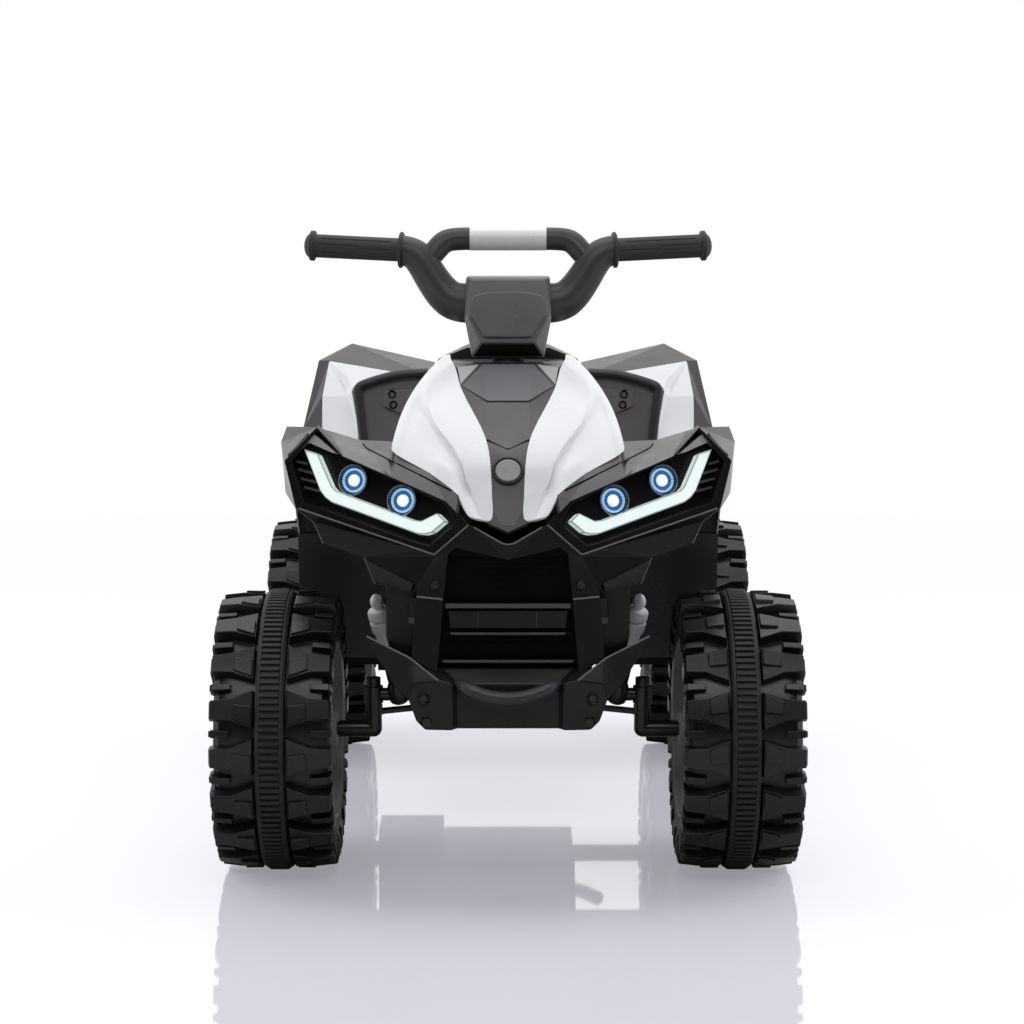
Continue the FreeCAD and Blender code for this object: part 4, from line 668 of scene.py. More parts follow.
GRIP_FROM = (82.5, -127.7, 474.7)
GRIP_TO = (157.5, -120.7, 478.15)
GRIP_RADIUS = 9.2
GRIP_FLANGE = ((0.3, 9.9), (0.3, 13.4), (0.9, 14.2), (2.6, 14.2), (3.2, 13.4), (3.4, 10.4))
GRIP_END = ((9.0, 11.0), (8.4, 11.9), (5.6, 11.9), (4.9, 11.0), (4.5, 9.4), (3.0, 8.6), (1.4, 6.4),
            (0.4, 3.2), (0, 0.0))
GRIP_AROUND = 144
GRIP_STEPS = 60
GRIP_BODY_FROM = 3.8
GRIP_BOTH_ENDS = 13.2
GRIP_PAST_TUBE = 4
GRIP_MERGE = 0.000002
GROOVE_DEPTH = 0.9
GROOVE_WIDTH = 0.5
# Angle of a set's two straight lines, and the share of the length where each begins
GROOVE_LINES = ((0.72, 0.0), (0.16, 0.5))
# The third line steps down: its first angle, the angle it falls by, the share where it falls, the sharpness
GROOVE_STEP = (-0.08, 0.52, 0.52, 40)
GROOVE_SPAN = (0.05, 0.97)
GROOVE_FADE = 16


def grip_groove(share, angle):
    """Share of the groove depth: three alike sets of lines, one whole, one outer, one that steps down."""
    first_angle, fall, place, sharpness = GROOVE_STEP
    stepped = first_angle - fall / (1 + math.exp(-(share - place) * sharpness))
    depth = 0.0
    for start, begin in (*GROOVE_LINES, (stepped, 0.0)):
        if share < begin:
            continue
        for turn in range(3):
            away = (angle - start - turn * 2 * math.pi / 3 + math.pi) % (2 * math.pi) - math.pi
            depth = max(depth, math.exp(-(away * GRIP_RADIUS / GROOVE_WIDTH) ** 2))
    low, high = GROOVE_SPAN
    ends = min(1.0, max(0.0, (share - low) * GROOVE_FADE), max(0.0, (high - share) * GROOVE_FADE))
    return depth * ends


def make_grips():
    origin, end = vec(*GRIP_FROM), vec(*GRIP_TO)
    axis = (end - origin).normalized()
    side = axis.cross(Vector((0, 0, 1))).normalized()
    up = side.cross(axis)
    length = (end - origin).length / MM + GRIP_PAST_TUBE
    rings = [(d, r, 0.0) for d, r in GRIP_FLANGE]
    for step in range(GRIP_STEPS + 1):
        share = step / GRIP_STEPS
        rings.append((GRIP_BODY_FROM + (length - GRIP_BOTH_ENDS) * share, GRIP_RADIUS, share))
    rings += [(length - d, r, 0.0) for d, r in GRIP_END]
    verts = []
    for k in range(GRIP_AROUND):
        angle = 2 * math.pi * k / GRIP_AROUND
        spoke = side * math.cos(angle) + up * math.sin(angle)
        for d, r, share in rings:
            depth = GROOVE_DEPTH * grip_groove(share, angle) if share else 0.0
            verts.append(origin + axis * (d * MM) + spoke * ((r - depth) * MM))
    grip = mesh_object("grip", verts, wrap_faces(GRIP_AROUND, len(rings)), "grip")
    pair(outward(grip, GRIP_MERGE), "grips", "steering")


# Headlights: strip with tinted edges, ringed projectors, louvre fins
PROJECTORS = ((112.2, 307.0), (75.4, 294.2))
PROJECTOR_CUP = ((0, 0), (0, 11.2), (6.8, 11.2), (7.2, 10.8), (6.6, 10.2), (4.4, 9.7), (3.6, 0))
PROJECTOR_RIM = ((6.4, 10.8), (6.4, 11.5), (7.4, 11.7), (8.0, 11.3), (7.6, 10.8), (6.4, 10.8))
PROJECTOR_CORE = ((3.5, 0), (3.5, 4.6), (5.0, 4.5), (6.2, 3.7), (6.9, 2.0), (7.1, 0))
PROJECTOR_SHELLS = {"cup": (PROJECTOR_CUP, "cup"), "rim": (PROJECTOR_RIM, "clear")}
# Inner and outer radius, low and high end along the lamp's axis, number of blocks, look
PROJECTOR_GUIDES = {"glow": (4.9, 7.3, 3.4, 5.2, 16, "ring"), "fine": (7.5, 9.1, 3.4, 5.6, 28, "ring_fine")}
# Where a block of a light guide starts, bends and ends, as shares of its pitch
GUIDE_SHARES = (0.09, 0.5, 0.91)
GUIDE_EDGE = 0.12
# One point of the lamp plane, and how much the plane falls back outward and upward
LAMP_X, LAMP_AHEAD, LAMP_Z = 29, 105, 287
LAMP_SWEEP = 0.403
LAMP_LEAN = 0.25
LAMP_RECESS = 12.0
STRIP_DEPTH = 8.0
LAMP_HOOD_DEPTH = 9.5


def forward_normal(a, b, c):
    """Normal of the plane through three points, towards the front of the bike."""
    normal = (b - a).cross(c - a).normalized()
    return normal if normal.y < 0 else -normal


def lamp_point(x, z, depth=0.0):
    """Point of the leaning lamp plane, or behind it."""
    ahead = LAMP_AHEAD - LAMP_SWEEP * (x - LAMP_X) - LAMP_LEAN * (z - LAMP_Z)
    return fore(x, ahead - depth, z)


LAMP_NORMAL = forward_normal(lamp_point(60, 290), lamp_point(120, 290), lamp_point(60, 320))


def ring_segments(name, seat, normal, inner, outer, low, high, count, material):
    """Broken ring of blocks, as a lamp's light guide shows."""
    side = normal.orthogonal().normalized()
    up = normal.cross(side)
    verts = []
    faces = []
    for index in range(count):
        start = len(verts)
        for share in GUIDE_SHARES:
            angle = 2 * math.pi * (index + share) / count
            spoke = side * math.cos(angle) + up * math.sin(angle)
            for r, d in ((inner, low), (outer, low), (outer, high), (inner, high)):
                verts.append(seat + spoke * (r * MM) + normal * (d * MM))
        faces += loop_sides(start, 4) + loop_sides(start + 4, 4)
        faces += [[start + i for i in range(4)], [start + 8 + i for i in range(4)]]
    return solid(name, verts, faces, material, GUIDE_EDGE)


def make_projectors():
    """Clear-rimmed cup, dark and bright light guides, and a lit core, twice on each side."""
    for number, (x, z) in enumerate(PROJECTORS, 1):
        seat = lamp_point(x, z, LAMP_RECESS)
        for name, (profile, look) in PROJECTOR_SHELLS.items():
            shell = lathe(f"projector_{name}_{number}", profile, seat, LAMP_NORMAL, look)
            pair(shell, "projector_rings")
        for name, guide in PROJECTOR_GUIDES.items():
            ring = ring_segments(f"projector_{name}_{number}", seat, LAMP_NORMAL, *guide)
            pair(ring, "projector_rings")
        core = lathe(f"projector_core_{number}", PROJECTOR_CORE, seat, LAMP_NORMAL, "lens")
        pair(core, "projector_lenses")


STRIP = ((149.5, 327.9), (138.6, 324.8), (127.8, 301.8), (124.6, 298.8), (66, 280.6), (60.5, 280.2),
         (48.8, 286.4), (42.6, 280.8), (52.4, 272.2), (57.6, 270.6), (64, 270.8), (127.9, 290.0),
         (133, 293.4), (136.8, 298.1))


def make_strips():
    """Lit band with a hooked inner end and tinted edges."""
    outline = [lamp_point(x, z, LAMP_RECESS) for x, z in STRIP]
    strip = plate("strip", outline, LAMP_NORMAL * (STRIP_DEPTH * MM), "strip", 1.0)
    strip.data.materials.append(M["strip_rim"])
    strip.modifiers["edge"].material = 1
    pair(strip, "light_strips")


FINS = ((158, 321.2, 149.7, 319.2), (156.7, 315.3, 145.2, 312.4), (154.7, 308.7, 142.4, 306.1),
        (152.1, 302.5, 139.4, 299.8))
FIN_INNER_DEPTH = 4.5
FIN_OUTER_DEPTH = 3.5
FIN_THICK = 1.6


def make_fins():
    """Louvres between the light strip and the lamp's outer edge."""
    for number, (out_x, out_z, in_x, in_z) in enumerate(FINS, 1):
        corners = [lamp_point(in_x, in_z, FIN_INNER_DEPTH), lamp_point(out_x, out_z, FIN_OUTER_DEPTH),
                   lamp_point(out_x, out_z, LAMP_RECESS), lamp_point(in_x, in_z, LAMP_RECESS)]
        pair(plate(f"lamp_fin_{number}", corners, vec(0, 0, -FIN_THICK), "bar", 0.35))


LAMP_HOODS = {
    "inner": (((144.0, 341.0), (123.6, 325.8), (127.4, 326.0), (147.6, 333.6)), "pale"),
    "outer": (((146.0, 339.6), (147.8, 333.8), (160.6, 323.4), (160.9, 321.6), (161.2, 322.2)), "brow"),
}


def make_lamp_hoods():
    """Pale facets under the peak of each lamp."""
    for name, (outline, look) in LAMP_HOODS.items():
        corners = [lamp_point(x, z, LAMP_RECESS) for x, z in outline]
        hood = plate(f"lamp_hood_{name}", corners, LAMP_NORMAL * (LAMP_HOOD_DEPTH * MM), look)
        pair(hood)


# Nose: grille mesh, bars and blank plate, bumper, cheeks beside the pillars, painted edge highlights and
# shocks
GRILLE_BARS = ((45.8, 219.6, 223.2), (42, 199.9, 201.9), (48, 179.2, 181.6))
GRILLE_WIRE = 0.45
MESH_COLUMNS = [number * 4.0 for number in range(-10, 11)]
MESH_ROWS = [183 + number * 4.2 for number in range(18)]
MESH_BACK = 93.6
COLUMN_FRONT, COLUMN_LOW, COLUMN_HIGH = 95.2, 182, 256
ROW_FRONT, ROW_HALF = 94.9, 43
PLATE_RIB = 0.4
BLANK_PLATE = ((-42.4, 204), (42.4, 204), (43.6, 217.6), (-43.6, 217.6))


def box(verts, faces, low, high):
    """Add a block between two corners to a mesh in the making."""
    start = len(verts)
    verts += [Vector((x, y, z)) for x in (low.x, high.x) for y in (low.y, high.y) for z in (low.z, high.z)]
    for face in ((0, 1, 3, 2), (4, 6, 7, 5), (0, 4, 5, 1), (2, 3, 7, 6), (0, 2, 6, 4), (1, 5, 7, 3)):
        faces.append([start + i for i in face])


def facing(ahead, spots):
    """Points from (x, z) spots on an upright plane ahead of the front axle."""
    return [fore(x, ahead, z) for x, z in spots]


def upright(ahead, low_x, high_x, low_z, high_z):
    return facing(ahead, ((low_x, low_z), (high_x, low_z), (high_x, high_z), (low_x, high_z)))


def make_grille():
    verts, faces = [], []
    for x in MESH_COLUMNS:
        low = fore(x - GRILLE_WIRE, COLUMN_FRONT, COLUMN_LOW)
        box(verts, faces, low, fore(x + GRILLE_WIRE, MESH_BACK, COLUMN_HIGH))
    for z in MESH_ROWS:
        low = fore(-ROW_HALF, ROW_FRONT, z - GRILLE_WIRE)
        box(verts, faces, low, fore(ROW_HALF, MESH_BACK, z + GRILLE_WIRE))
    # The grille mesh is near-black: black wires with painted shade of the recess behind them.
    settle(solid("grille_mesh", verts, faces, "black_and_shade", 0))
    for number, (half, low, high) in enumerate(GRILLE_BARS, 1):
        outline = upright(101, -half, half, low, high)
        settle(plate(f"grille_bar_{number}", outline, vec(0, -2.6, 0), "charcoal", 0.7))
    settle(plate("blank_plate", facing(95, BLANK_PLATE), vec(0, -4.2, 0), "mask", 0.6))
    for side, x in (("left", 21.0), ("right", -22.0)):
        outline = upright(98.6, x - PLATE_RIB, x + PLATE_RIB, 205.4, 216.4)
        settle(plate(f"plate_rib_{side}", outline, vec(0, -1.2, 0), "bar", 0.2))


# Pale thin bars along edges of the bezel, mask, pillars and bumper: painted highlights where those edges
# catch the light.
PAINTED_EDGE_HIGHLIGHTS = {
    "bezel_lip_highlight": ([lamp_point(155.5, 286.6), lamp_point(65.7, 262.2), lamp_point(53.4, 258.8),
                   lamp_point(28.4, 281.2)], 0.7),
    "mask_edge_highlight": ([lamp_point(157.4, 286.4), fore(145, 48, 276), fore(137.6, 50, 259.8)], 0.6),
    "mask_wing_edge_highlight": ([fore(106, 70, 252), fore(98.2, 70, 232.6)], 0.6),
    "pillar_ledge_highlight": ([fore(47.2, 106.2, 226.8), fore(66, 102.2, 228.0)], 0.8),
    "bumper_edge_highlight": ([fore(103.8, 85.6, 195.8), fore(71, 105.2, 183.2), fore(61.2, 112.2, 176.6),
                     fore(50.4, 119.6, 169.6)], 0.8),
}
BUMPER = {
    "top_in": fore(40.4, 120, 167.2), "foot_in": fore(40.4, 120, 132.8), "foot": fore(60, 120, 133.2),
    "low": fore(66.5, 119.2, 139.4), "out": fore(72.6, 117.5, 155.5), "shoulder": fore(69.6, 116, 166.5),
    "top_out": fore(50, 119.6, 169.4), "mid": fore(61, 112.4, 176.4), "arm": fore(71, 105, 183),
    "elbow": fore(83, 108, 164.5), "tip_low": fore(95, 96, 180.5), "tip": fore(104.5, 85, 196),
    "face_low0": fore(0, 112, 132.4), "face_low": fore(36.4, 112, 132.4), "face_top": fore(36.4, 112, 165.5),
    "face_top0": fore(0, 112, 165.5), "shelf": fore(50, 101, 176), "shelf0": fore(0, 101, 176),
}
BUMPER_FACES = (
    ("top_in", "foot_in", "foot", "low", "out", "shoulder", "top_out"), ("shoulder", "out", "elbow", "arm"),
    ("arm", "elbow", "tip_low", "tip"), ("top_out", "shoulder", "arm", "mid"),
    ("face_low0", "face_low", "face_top", "face_top0"), ("face_low", "foot_in", "top_in", "face_top"),
    ("face_top0", "face_top", "shelf", "shelf0"), ("face_top", "top_in", "shelf"),
    ("top_in", "top_out", "shelf"), ("top_out", "mid", "shelf"),
)
BUMPER_THICK = 6.0
BUMPER_BOW = ((0, 125.4, 157.0), (15, 125.2, 158.8), (26, 123.8, 162.8), (31, 119.6, 164.4), (35, 110, 165.0))
BOW_RADIUS = 4.9
PILLAR_FACET = (fore(43.4, 104, 259.6), fore(46.8, 106, 228.4), fore(66, 100, 236.4))
FOOT_FACET = (BUMPER["top_in"], BUMPER["foot_in"], BUMPER["low"])
NOSE_SCREWS = {
    "bumper_screw_1": (FOOT_FACET, 61.3, 156.0, 4.4), "bumper_screw_2": (FOOT_FACET, 59.8, 139.6, 3.6),
    "pillar_screw": (PILLAR_FACET, 53.4, 236.4, 4.3),
}


def on_facet(corners, x, z):
    """Spot on a flat facet at a given place in front view, and the facet's forward normal."""
    normal = forward_normal(*corners)
    near = corners[0]
    y = near.y - (normal.x * (x * MM - near.x) + normal.z * (z * MM - near.z)) / normal.y
    return Vector((x * MM, y, z * MM)), normal


def make_bumper_skin():
    """Bumper with flat feet, folded wings and a carrying bow, in place of the plain CAD shell."""
    names = list(BUMPER)
    verts = list(BUMPER.values())
    twin_of = {}
    for index, point in enumerate(BUMPER.values()):
        if point.x > 0:
            twin_of[index] = len(verts)
            verts += mirror_x([point])
    faces = [[names.index(name) for name in face] for face in BUMPER_FACES]
    faces += [[twin_of.get(index, index) for index in reversed(face)] for face in faces]
    skin = solid("bumper_skin", verts, faces, "bumper", 0)
    inward = -1.0 if skin.data.polygons[0].normal.y < 0 else 1.0
    settle(bevelled(walled(skin, BUMPER_THICK, inward), 1.5, 10, 3), replaced=["front_bumper"])
    # The bow takes the lighter bar plastic against the darker bumper, so its lighter tone is painted
    # highlight.
    bow = tube("bumper_bow", both_halves([fore(*p) for p in BUMPER_BOW]), BOW_RADIUS, "bar", 20)
    settle(bow, replaced=["front_bumper"])
    for name, (facet, x, z, radius) in NOSE_SCREWS.items():
        seat, normal = on_facet(facet, x, z)
        ring = ((-1, 0), (-1, radius), (0.3, radius), (0.7, radius - 0.5), (0.4, radius - 1.1),
                (0.1, radius - 1.3), (0.1, 0))
        pair(lathe(name, ring, seat, normal, "mask", 28))
        head = ((0, 0), (0, radius - 1.5), (0.5, radius - 1.7), (0.6, 0))
        pair(lathe(name.replace("screw", "bolt"), head, seat, normal, "paint", 20))


NOSE_PLATES = {
    "nose_cheek": (facing(80, ((66, 176), (85, 176), (89.5, 196), (89.5, 234), (66, 234))), -2.5, "mask",
                   0.8),
    "nose_clip": (facing(97, ((66.0, 226.4), (66.0, 207.4), (71.4, 209.0), (71.4, 226.4))), -3.4, "mask",
                  0.6),
    "clip_tab": (facing(99.8, ((67.0, 212.2), (67.4, 207.2), (72.4, 208.8), (72.4, 212.2))), -1.8, "bar",
                 0.4),
    # nose_wall: a near-black sheet set back in the nose, painted shade of the gap there.
    "nose_wall": ([fore(0, 97.5, 268.5), fore(26, 91.5, 279), fore(27, 91.5, 292), fore(0, 97.5, 283)], 2,
                  "black_and_shade", 0.3),
}
CROSS_LINES = {
    # dash_seam: a near-black line on the seam below the dash, a dark joint with painted shade of its gap.
    "dash_seam": ([fore(0, 67.4, 331.3), fore(6, 64.4, 333.8), fore(15.4, 59.2, 338.1)], 0.8, "black_and_shade"),
    # mask_ridge: a pale thin bar along the ridge of the mask, a painted highlight.
    "mask_ridge": ([fore(0, 118.2, 266.8), fore(12, 113.9, 273.2), fore(24.5, 109.2, 279.8)], 0.6, "brow"),
}


WING_FACET = ((70.5, 98.4, 231.4), (97.4, 70.6, 233.4), (105, 70.6, 251), (69, 98.6, 237.4))


def make_wing_facets():
    """Lighter folded facet below each lamp, beside the pillar."""
    outline = [fore(*p) for p in WING_FACET]
    pair(plate("wing_facet", outline, vec(0.3, -0.8, 0), "bumper"))


def make_bumper_trim():
    """Plates beside and above the grille, lines across the middle (a near-black one of painted shade at the
    dash seam, a pale one of painted highlight on the mask ridge), and pale bars along the edges as painted
    highlights.
    """
    for name, (outline, push, look, edge) in NOSE_PLATES.items():
        pair(plate(name, outline, vec(0, push, 0), look, edge))
    for name, (half, radius, look) in CROSS_LINES.items():
        settle(tube(name, both_halves(half), radius, look))
    for name, (corners, radius) in PAINTED_EDGE_HIGHLIGHTS.items():
        # Pale bars laid along the edges as painted highlights.
        tube_pair(name, straight(corners), radius, "brow")


SHOCK_FOOT = (84.4, FRONT_Y, 135.0)
SHOCK_TOP = (100.0, FRONT_Y - 20.0, 211.0)
SHOCK_STRUT = ((-7, 0), (-7, 5), (-5, 7.4), (0, 8.6), (5, 8.2), (9, 7.0), (11, 5.8), (14, 6.0), (44, 6.2),
               (44, 0))
SHOCK_CAP = ((43, 0), (43, 6.4), (53, 6.8), (56, 8.6), (63.2, 9.0), (64, 8.5), (64.4, 7.2), (65.4, 7.2),
             (65.8, 8.5), (66.6, 9.0), (72.0, 8.8), (73.6, 7.8), (74.2, 5.6), (74.8, 3.6), (76.4, 4.4),
             (78.4, 5.0), (80.4, 5.0), (82.4, 4.4), (84.4, 3.2), (85.8, 1.4), (86.2, 0))


def make_shocks():
    foot, top = vec(*SHOCK_FOOT), vec(*SHOCK_TOP)
    for name, profile, material in (("shock_strut", SHOCK_STRUT, "paint"), ("shock_cap", SHOCK_CAP, "shock")):
        pair(lathe(name, profile, foot, top - foot, material), "shock_absorbers")


# Rear fenders: rolled arch, bracket and sculpted white insert
GUARD_BEHIND, GUARD_Z = -120, 134
GUARD_LEAN = 0.1295


def guard_point(x, z, forward=0.0):
    """Point of the leg guard's leaning plane, or before it."""
    return aft(x, GUARD_BEHIND + GUARD_LEAN * (z - GUARD_Z) - forward, z)


ARCH = ((122, 140), (125, 220), (129.5, 300), (134.5, 338), (135.4, 347), (127, 351.2), (101, 358.6),
        (86, 359.8), (72, 360.2))
ARCH_RADIUS = 4.3
BRACKET = ((112.3, 344), (112.4, 330.8), (97.5, 324.3), (76, 318.5), (74.5, 346.4))
BRACKET_SCREWS = ((104.1, 341.0), (103.0, 331.8))
BRACKET_RING = ((-1, 0), (-1, 3.6), (0.5, 3.6), (1.0, 3.1), (0.9, 2.5), (-0.4, 2.2), (-0.4, 0))
BRACKET_NORMAL = Vector((0, -1, 0.12))


def make_arches():
    """Rolled edge of the leg guard, and its bracket with two screw seats."""
    tube_pair("fender_arch", [guard_point(x, z, 2.2) for x, z in ARCH], ARCH_RADIUS, "bar")
    outline = [guard_point(x, z, -0.5) for x, z in BRACKET]
    pair(plate("guard_bracket", outline, vec(0, -2.4, 0), "panel", 0.6))
    for number, (x, z) in enumerate(BRACKET_SCREWS, 1):
        seat = guard_point(x, z, 2.0)
        # The screw seats are near-black, painted shade in their hollows.
        pair(lathe(f"bracket_screw_{number}", BRACKET_RING, seat, BRACKET_NORMAL, "black_and_shade", 24))


INSERT_RIM = {
    "tip": (98.5, -88, 360.5), "top": (165, -35, 367.5), "mid": (170.5, -50, 336), "low": (171, -61, 303.5),
    "foot": (133.3, -90, 300.5), "inner": (141, -80, 345.5), "ledge_in": (133.3, -97, 296.5),
    "ledge_out": (165.5, -97, 294),
}
INSERT_AHEAD = -350.0
INSERT_DART = {"fold": (144.5, 355.0, -0.6), "deep": (151.5, 347.5, -5.5), "line1": (147.3, 338.0, -3.0),
               "line2": (138.6, 309.5, -1.0)}
INSERT_FACES = (
    ("tip", "inner", "fold", "top"), ("top", "fold", "inner", "deep"), ("top", "deep", "line1", "mid"),
    ("mid", "line1", "line2", "low"), ("low", "line2", "foot"), ("inner", "foot", "line2", "line1"),
    ("inner", "line1", "deep"), ("foot", "ledge_in", "ledge_out", "low"),
)
INSERT_WALL = 2.0


def make_inserts():
    """White fender insert with a pressed dart, which the CAD solid has as plain faces."""
    surface = front_of("fender_insert_left")
    spots = {name: aft(*place) for name, place in INSERT_RIM.items()}
    for name, (x, z, lift) in INSERT_DART.items():
        spots[name] = in_view(surface, x, INSERT_AHEAD, z, lift)
    order = list(spots)
    faces = [[order.index(name) for name in face] for face in INSERT_FACES]
    insert = walled(solid("insert_skin", list(spots.values()), faces, "white", 0), INSERT_WALL)
    pair(bevelled(insert, 0.9, 6, 3), "fender_insert_{side}")


# Brow lines of painted groove shade, seat ribs and body ribs laid on CAD surfaces, and tail lamps
SEAT_RIBS = (66, 80, 94, 108, 122)
SEAT_RIB_HALF = 36
BODY_RIBS = ((233, -78, 92), (246, -70, 84), (259, -62, 76))
RIB_STEPS = 14
RIB_SINK = 0.4
ABOVE = 1000.0
BESIDE = 500.0
TAIL_INNER = 14.0
TAIL_EDGE = 1.4
TAIL_FRAME_DEPTH = 1.4
TAIL_LENS_DEPTH = 2.2
TAIL_FLUTES = 6
FLUTE_HALF = 0.7
# Room beside the first flute and beside all of them, and a flute's insets from the lamp's face, foot and top
FLUTE_FROM, FLUTE_SPARE = 2.4, 7
FLUTE_FACE, FLUTE_FOOT, FLUTE_TOP = 2, 2.6, 2.8
# BROW_LINE: points of a near-black line that paints the shade of the groove along each lamp's brow.
BROW_LINE = ((107.0, 335.2), (104.5, 332.2), (83.4, 321.4), (65, 312.2), (42, 300.6))
BROW_AHEAD = 60.0
BROW_SINK = -0.25


def laid_line(surface, first, last, toward):
    """Straight line moved along a direction on to a surface, and sunk a little into it."""
    starts = straight([first, last], RIB_STEPS)
    return [surface.ray_cast(start, toward)[0] + toward * (RIB_SINK * MM) for start in starts]


def make_ribs():
    """Moulded ribs across the seat and along the body sides, laid on the CAD surfaces."""
    seat, body = front_of("seat"), front_of("centre_body")
    down, inward = Vector((0, 0, -1)), Vector((-1, 0, 0))
    for number, y in enumerate(SEAT_RIBS, 1):
        line = laid_line(seat, vec(-SEAT_RIB_HALF, y, ABOVE), vec(SEAT_RIB_HALF, y, ABOVE), down)
        settle(tube(f"seat_rib_{number}", line, 1.6, "black"))
    for number, (z, start, stop) in enumerate(BODY_RIBS, 1):
        line = laid_line(body, vec(BESIDE, start, z), vec(BESIDE, stop, z), inward)
        tube_pair(f"body_rib_{number}", line, 2.0, "charcoal")


def make_tail_lamps():
    """Red lens with upright flutes in a dark frame, over each CAD lamp block."""
    lamps = nodes["tail_lights"]
    corners = [lamps.matrix_world @ Vector(corner) for corner in lamps.bound_box]
    (_, outer), (face, back), (low, high) = ((min(c) / MM, max(c) / MM) for c in zip(*corners))
    spots = ((TAIL_INNER, low), (outer, low), (outer, high), (TAIL_INNER, high))
    outline = [vec(x, face, z) for x, z in spots]
    pair(plate("tail_frame", outline, vec(0, TAIL_FRAME_DEPTH, 0), "black"), replaced="tail_lights")
    left, right = TAIL_INNER + TAIL_EDGE, outer - TAIL_EDGE
    outline = [vec(left, face, low + TAIL_EDGE), vec(right, face, low + TAIL_EDGE),
               vec(right - 2, face, high - TAIL_EDGE), vec(left, face, high - TAIL_EDGE)]
    lens = plate("tail_lens", outline, vec(0, TAIL_LENS_DEPTH, 0), "tail", 0.5)
    pair(lens, "tail_lights")
    verts, faces = [], []
    for number in range(TAIL_FLUTES):
        x = left + FLUTE_FROM + number * (right - left - FLUTE_SPARE) / (TAIL_FLUTES - 1)
        corner = vec(x - FLUTE_HALF, face + FLUTE_FACE, low + FLUTE_FOOT)
        box(verts, faces, corner, vec(x + FLUTE_HALF, back, high - FLUTE_TOP))
    pair(solid("tail_flutes", verts, faces, "tail", 0.3), "tail_lights")


def make_brow_lines():
    """Dark line along the top of each lamp's brow, painted shade of the groove there, laid on the mudguard as
    the camera sees it.
    """
    surface = front_of("front_mudguard_left")
    spots = straight([Vector(spot) for spot in BROW_LINE], 5)
    tube_pair("brow_line", [in_view(surface, x, BROW_AHEAD, z, BROW_SINK) for x, z in spots], 0.8, "black_and_shade")


for make in (make_hood, make_dash, make_centre_trim, make_badge, make_stem, make_handlebar, make_grips,
             make_projectors, make_strips, make_fins, make_lamp_hoods, make_grille, make_bumper_skin,
             make_wing_facets, make_bumper_trim, make_shocks, make_arches, make_inserts, make_brow_lines,
             make_ribs, make_tail_lamps):
    make()


# Tyres: carcass, mirrored tread blocks with a raised step, shoulder bars and sidewall lugs
BLOCKS = 18
BLOCK_TOP = 106.0
GROOVE_R = 97.0
PITCH = 2 * math.pi * BLOCK_TOP / BLOCKS
CARCASS = ((12.0, GROOVE_R), (30.0, GROOVE_R), (38.0, 95.0), (42.0, 90.5), (43.2, 85.0), (43.4, 78.0),
           (42.6, 72.5), (41.6, 70.2))
STEPS_PER_BLOCK = 6
BLOCK = ((12.6, -0.40), (21.0, -0.31), (29.0, -0.22), (43.6, -0.19), (43.6, 0.19), (29.0, 0.215),
         (21.0, 0.29), (12.6, 0.36))
STEP = ((13.6, -0.06), (26.6, -0.10), (27.2, 0.17), (20.0, 0.255), (13.6, 0.315))
BAR = ((29.5, 0.435), (43.2, 0.425), (43.2, 0.575), (29.5, 0.565))
# Outline, top radius towards the middle, top radius towards the shoulder, foot radius, flank draft
TREAD_LUGS = (
    (BLOCK, BLOCK_TOP - 0.8, BLOCK_TOP - 2.2, GROOVE_R - 1, 1.2),
    (STEP, BLOCK_TOP + 0.9, BLOCK_TOP + 0.9, BLOCK_TOP - 2, 0.4),
    (BAR, BLOCK_TOP - 4.0, BLOCK_TOP - 5.0, GROOVE_R - 2, 0.8),
)
SHOULDER_FROM = 6
# First and last share of the pitch, inner radius
WALL_LUGS = ((-0.19, 0.19, 78.5), (0.43, 0.57, 84.0))
RIBS = 132
# Place along the axle, radius between ribs, radius on a rib
BAND_SECTION = (
    (-11.0, 98.6, 98.6), (-10.4, 105.2, 105.2), (-8.6, 106.6, 106.6), (-7.4, 106.7, 106.7),
    (-6.9, 105.9, 107.8), (-6.2, 105.9, 108.0), (6.2, 105.9, 108.0), (6.9, 105.9, 107.8), (7.4, 106.7, 106.7),
    (8.6, 106.6, 106.6), (10.4, 105.2, 105.2), (11.0, 98.6, 98.6),
)
# Share of a rib's pitch, and whether the rib is raised there
BAND_ROWS = ((0.0, False), (0.30, False), (0.42, True), (0.88, True))


def round_point(x, share, radius, count=BLOCKS):
    """Point at x along the axle and a radius, a share of one of count pitches round the wheel, in metres."""
    angle = 2 * math.pi * share / count
    return (x * MM, -radius * math.cos(angle) * MM, radius * math.sin(angle) * MM)


def add_lug(verts, faces, turn, side, outline, top, top_out, foot, draft):
    """Raised block over an outline of (x, share) points, with sloped flanks."""
    count = len(outline)
    mid_x = sum(x for x, share in outline) / count
    mid_share = sum(share for x, share in outline) / count
    start = len(verts)
    for x, share in outline:
        grow_x = draft * (1 if x > mid_x else -1)
        grow_share = draft / PITCH * (1 if share > mid_share else -1)
        verts.append(round_point(side * (x + grow_x), turn + share + grow_share, foot))
    for x, share in outline:
        verts.append(round_point(side * x, turn + share, top if x < mid_x + SHOULDER_FROM else top_out))
    added = [[start + count + i for i in range(count)]] + loop_sides(start, count)
    faces += [face[::side] for face in added]


def add_wall_lug(verts, faces, turn, side, low, high, depth):
    """Lug that carries a block down the sidewall."""
    start = len(verts)
    rings = ((41.0, 99.5), (45.0, 99.0), (45.0, depth + 4), (43.0, depth))
    for share in (low, high):
        verts += [round_point(side * x, turn + share, r) for x, r in rings]
    count = len(rings)
    far = start + count
    added = [[start + i, start + i + 1, far + i + 1, far + i] for i in range(count - 1)]
    added += [[start + i for i in reversed(range(count))], [far + i for i in range(count)]]
    faces += [face[::side] for face in added]


